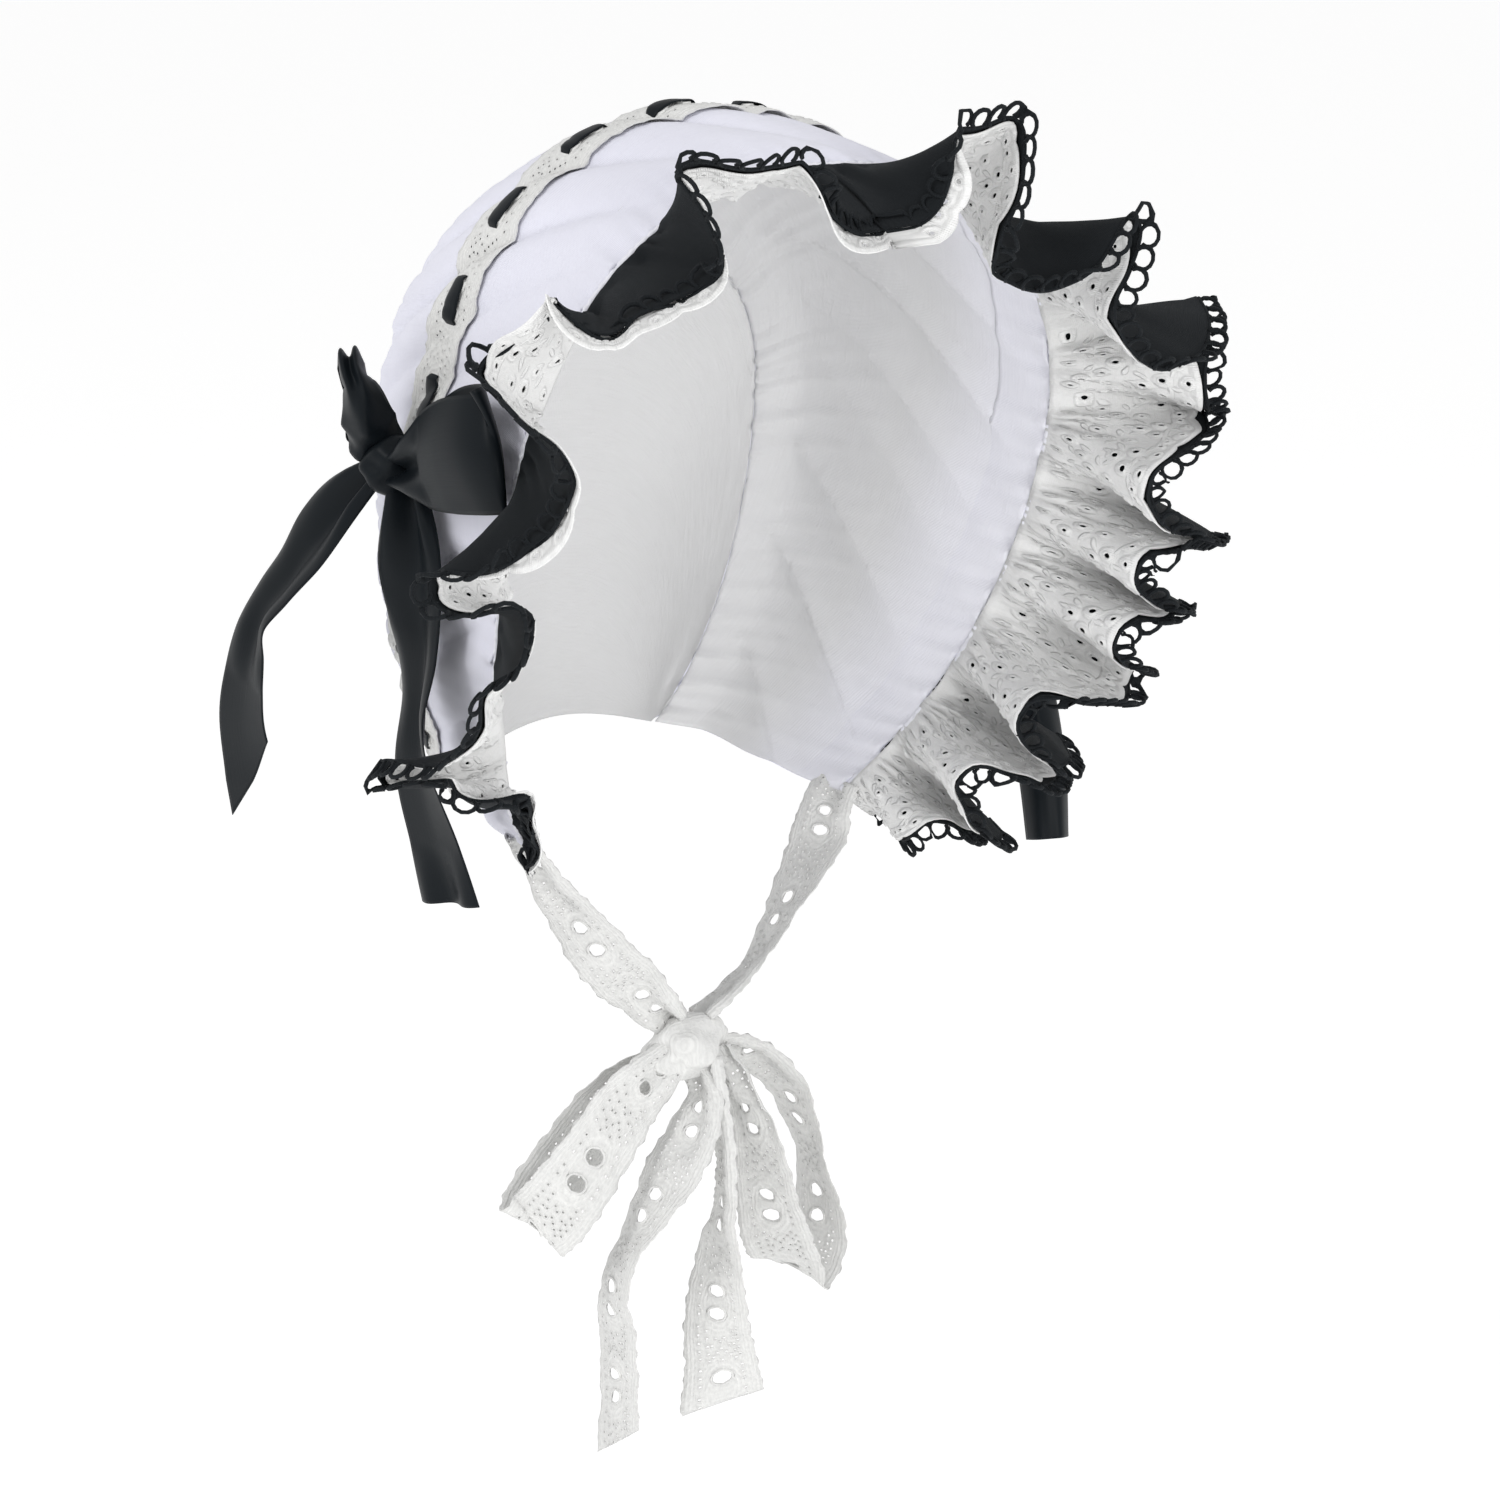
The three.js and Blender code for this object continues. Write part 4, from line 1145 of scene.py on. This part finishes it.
def add_ribbon(name, node, rows, mirror, slant, softness):
    surface, length = hang(rows, SATIN_WIDTH, mirror, slant, softness)
    bm = cut_cloth(length, SATIN_WIDTH, SATIN_CELL, middle=True)
    ribbon = make_piece(name, bm, surface, None, 0, (SATIN,), SATIN_WALL)
    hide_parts(node)
    length * MM


def add_tie(name, node, rows, first, slant=0):
    surface, length = hang(rows, TAPE_WIDTH, 1, slant, TIE_SOFTNESS)

    def slack(x, y):
        return 0.5 * ripple(x + 0.4 * y, 23, 1.0) + 0.35 * ripple(x - 0.8 * y, 11, 3.0)

    tie = make_piece(name, lace_tape(length, first), surface, slack, 0, (LACE,), THIN_WALL, first)
    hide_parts(node)
    length * MM


def add_knot(name, node, place, radii, material, relief):
    """Wound cloth: an egg shape with the turns of the cloth standing out of it."""
    bm = bmesh.new()
    bmesh.ops.create_uvsphere(bm, u_segments=64, v_segments=40, radius=1)
    for v in bm.verts:
        x, y, z = v.co
        turn = math.atan2(y, x)
        wind = math.sin(3 * turn + 3.6 * z) + 0.5 * math.sin(5 * turn - 6 * z + 1)
        wind += 0.3 * math.sin(9 * z + turn)
        v.co *= 1 + relief * wind * (1 - z * z)
    bmesh.ops.scale(bm, verts=bm.verts, vec=radii)
    move(bm, *place)
    knot = make_piece(name, bm, materials=(material,))
    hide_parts(node)


SIDE_KNOT = (-129.8, 35, -129)
SIDE_KNOT_RADII = (11, 10, 12)
SIDE_KNOT_RELIEF = 0.09
TIE_KNOT = (-8, 14, -381)
TIE_KNOT_RADII = (18, 10, 14)
TIE_KNOT_RELIEF = 0.14


def add_bows():
    for side, mirror, loop, tail in (("right", 1, FRONT_LOOP, FRONT_TAIL),
                                     ("left", -1, FAR_FRONT_LOOP, FAR_FRONT_TAIL)):
        knot = f"{side}_bow_centre"
        place = (SIDE_KNOT[0] * mirror, *SIDE_KNOT[1:])
        add_knot(knot, f"{side}_bow_knot", place, SIDE_KNOT_RADII, SATIN, SIDE_KNOT_RELIEF)
        for part, node, rows, held, turned, slant, softness in (
                ("front_bow", "front_loop", loop, "folded", mirror, 0, 0.4),
                ("back_bow", "back_loop", BACK_LOOP, "folded", mirror, 0, 0.08),
                ("back_streamer", "back_tail", BACK_TAIL, "hung", mirror, BACK_CUT, 0.05),
                ("front_streamer", "front_tail", tail, "hung", 1, 0, 0.05)):
            add_ribbon(f"{side}_{part}", f"{side}_bow_{node}", rows, turned, slant, softness)


def add_ties():
    """The last numbers are where the lace's pattern starts and how the end is cut."""
    add_knot("tie_centre", "tie_knot", TIE_KNOT, TIE_KNOT_RADII, LACE, TIE_KNOT_RELIEF)
    add_tie("right_strap", "right_tie", RIGHT_TIE, -8)
    add_tie("left_strap", "left_tie", LEFT_TIE, 6)
    add_tie("right_lace_loop", "right_tie_loop", RIGHT_TIE_LOOP, 4)
    add_tie("left_lace_loop", "left_tie_loop", LEFT_TIE_LOOP, 8)
    add_tie("right_lace_end", "right_tie_tail", RIGHT_TIE_TAIL, 10, RIGHT_TIE_CUT)
    add_tie("left_lace_end", "left_tie_tail", LEFT_TIE_TAIL, 4, LEFT_TIE_CUT)


def add_stage():
    bm = bmesh.new()
    bmesh.ops.create_grid(bm, x_segments=1, y_segments=1, size=40)
    move(bm, 0, 0, FLOOR)
    mesh = new_mesh("floor", bm)
    floor = bpy.data.objects.new("floor", mesh)
    link(floor)
    paper = Shader("floor_paper", (0.93, 0.93, 0.93), 0.9, Emission_Color=(1, 1, 1, 1),
                   Emission_Strength=0.3)
    mesh.materials.append(paper.material)
    world = bpy.data.worlds.new("studio")
    world.use_nodes = True
    sky = world.node_tree.nodes["Background"].inputs
    sky["Color"].default_value = (1, 1, 1, 1)
    sky["Strength"].default_value = 0.72
    bpy.context.scene.world = world
    middle = (0, 0, -0.2)
    add_lamp("key", (-1.9, -0.3, 1.4), middle, 0.6, 16)
    add_lamp("front", (-0.2, -2.2, 0.1), middle, 1.0, 14)


add_crown()
add_back()
add_frill()
add_trim()
add_binding()
add_band()
add_bows()
add_ties()
add_stage()
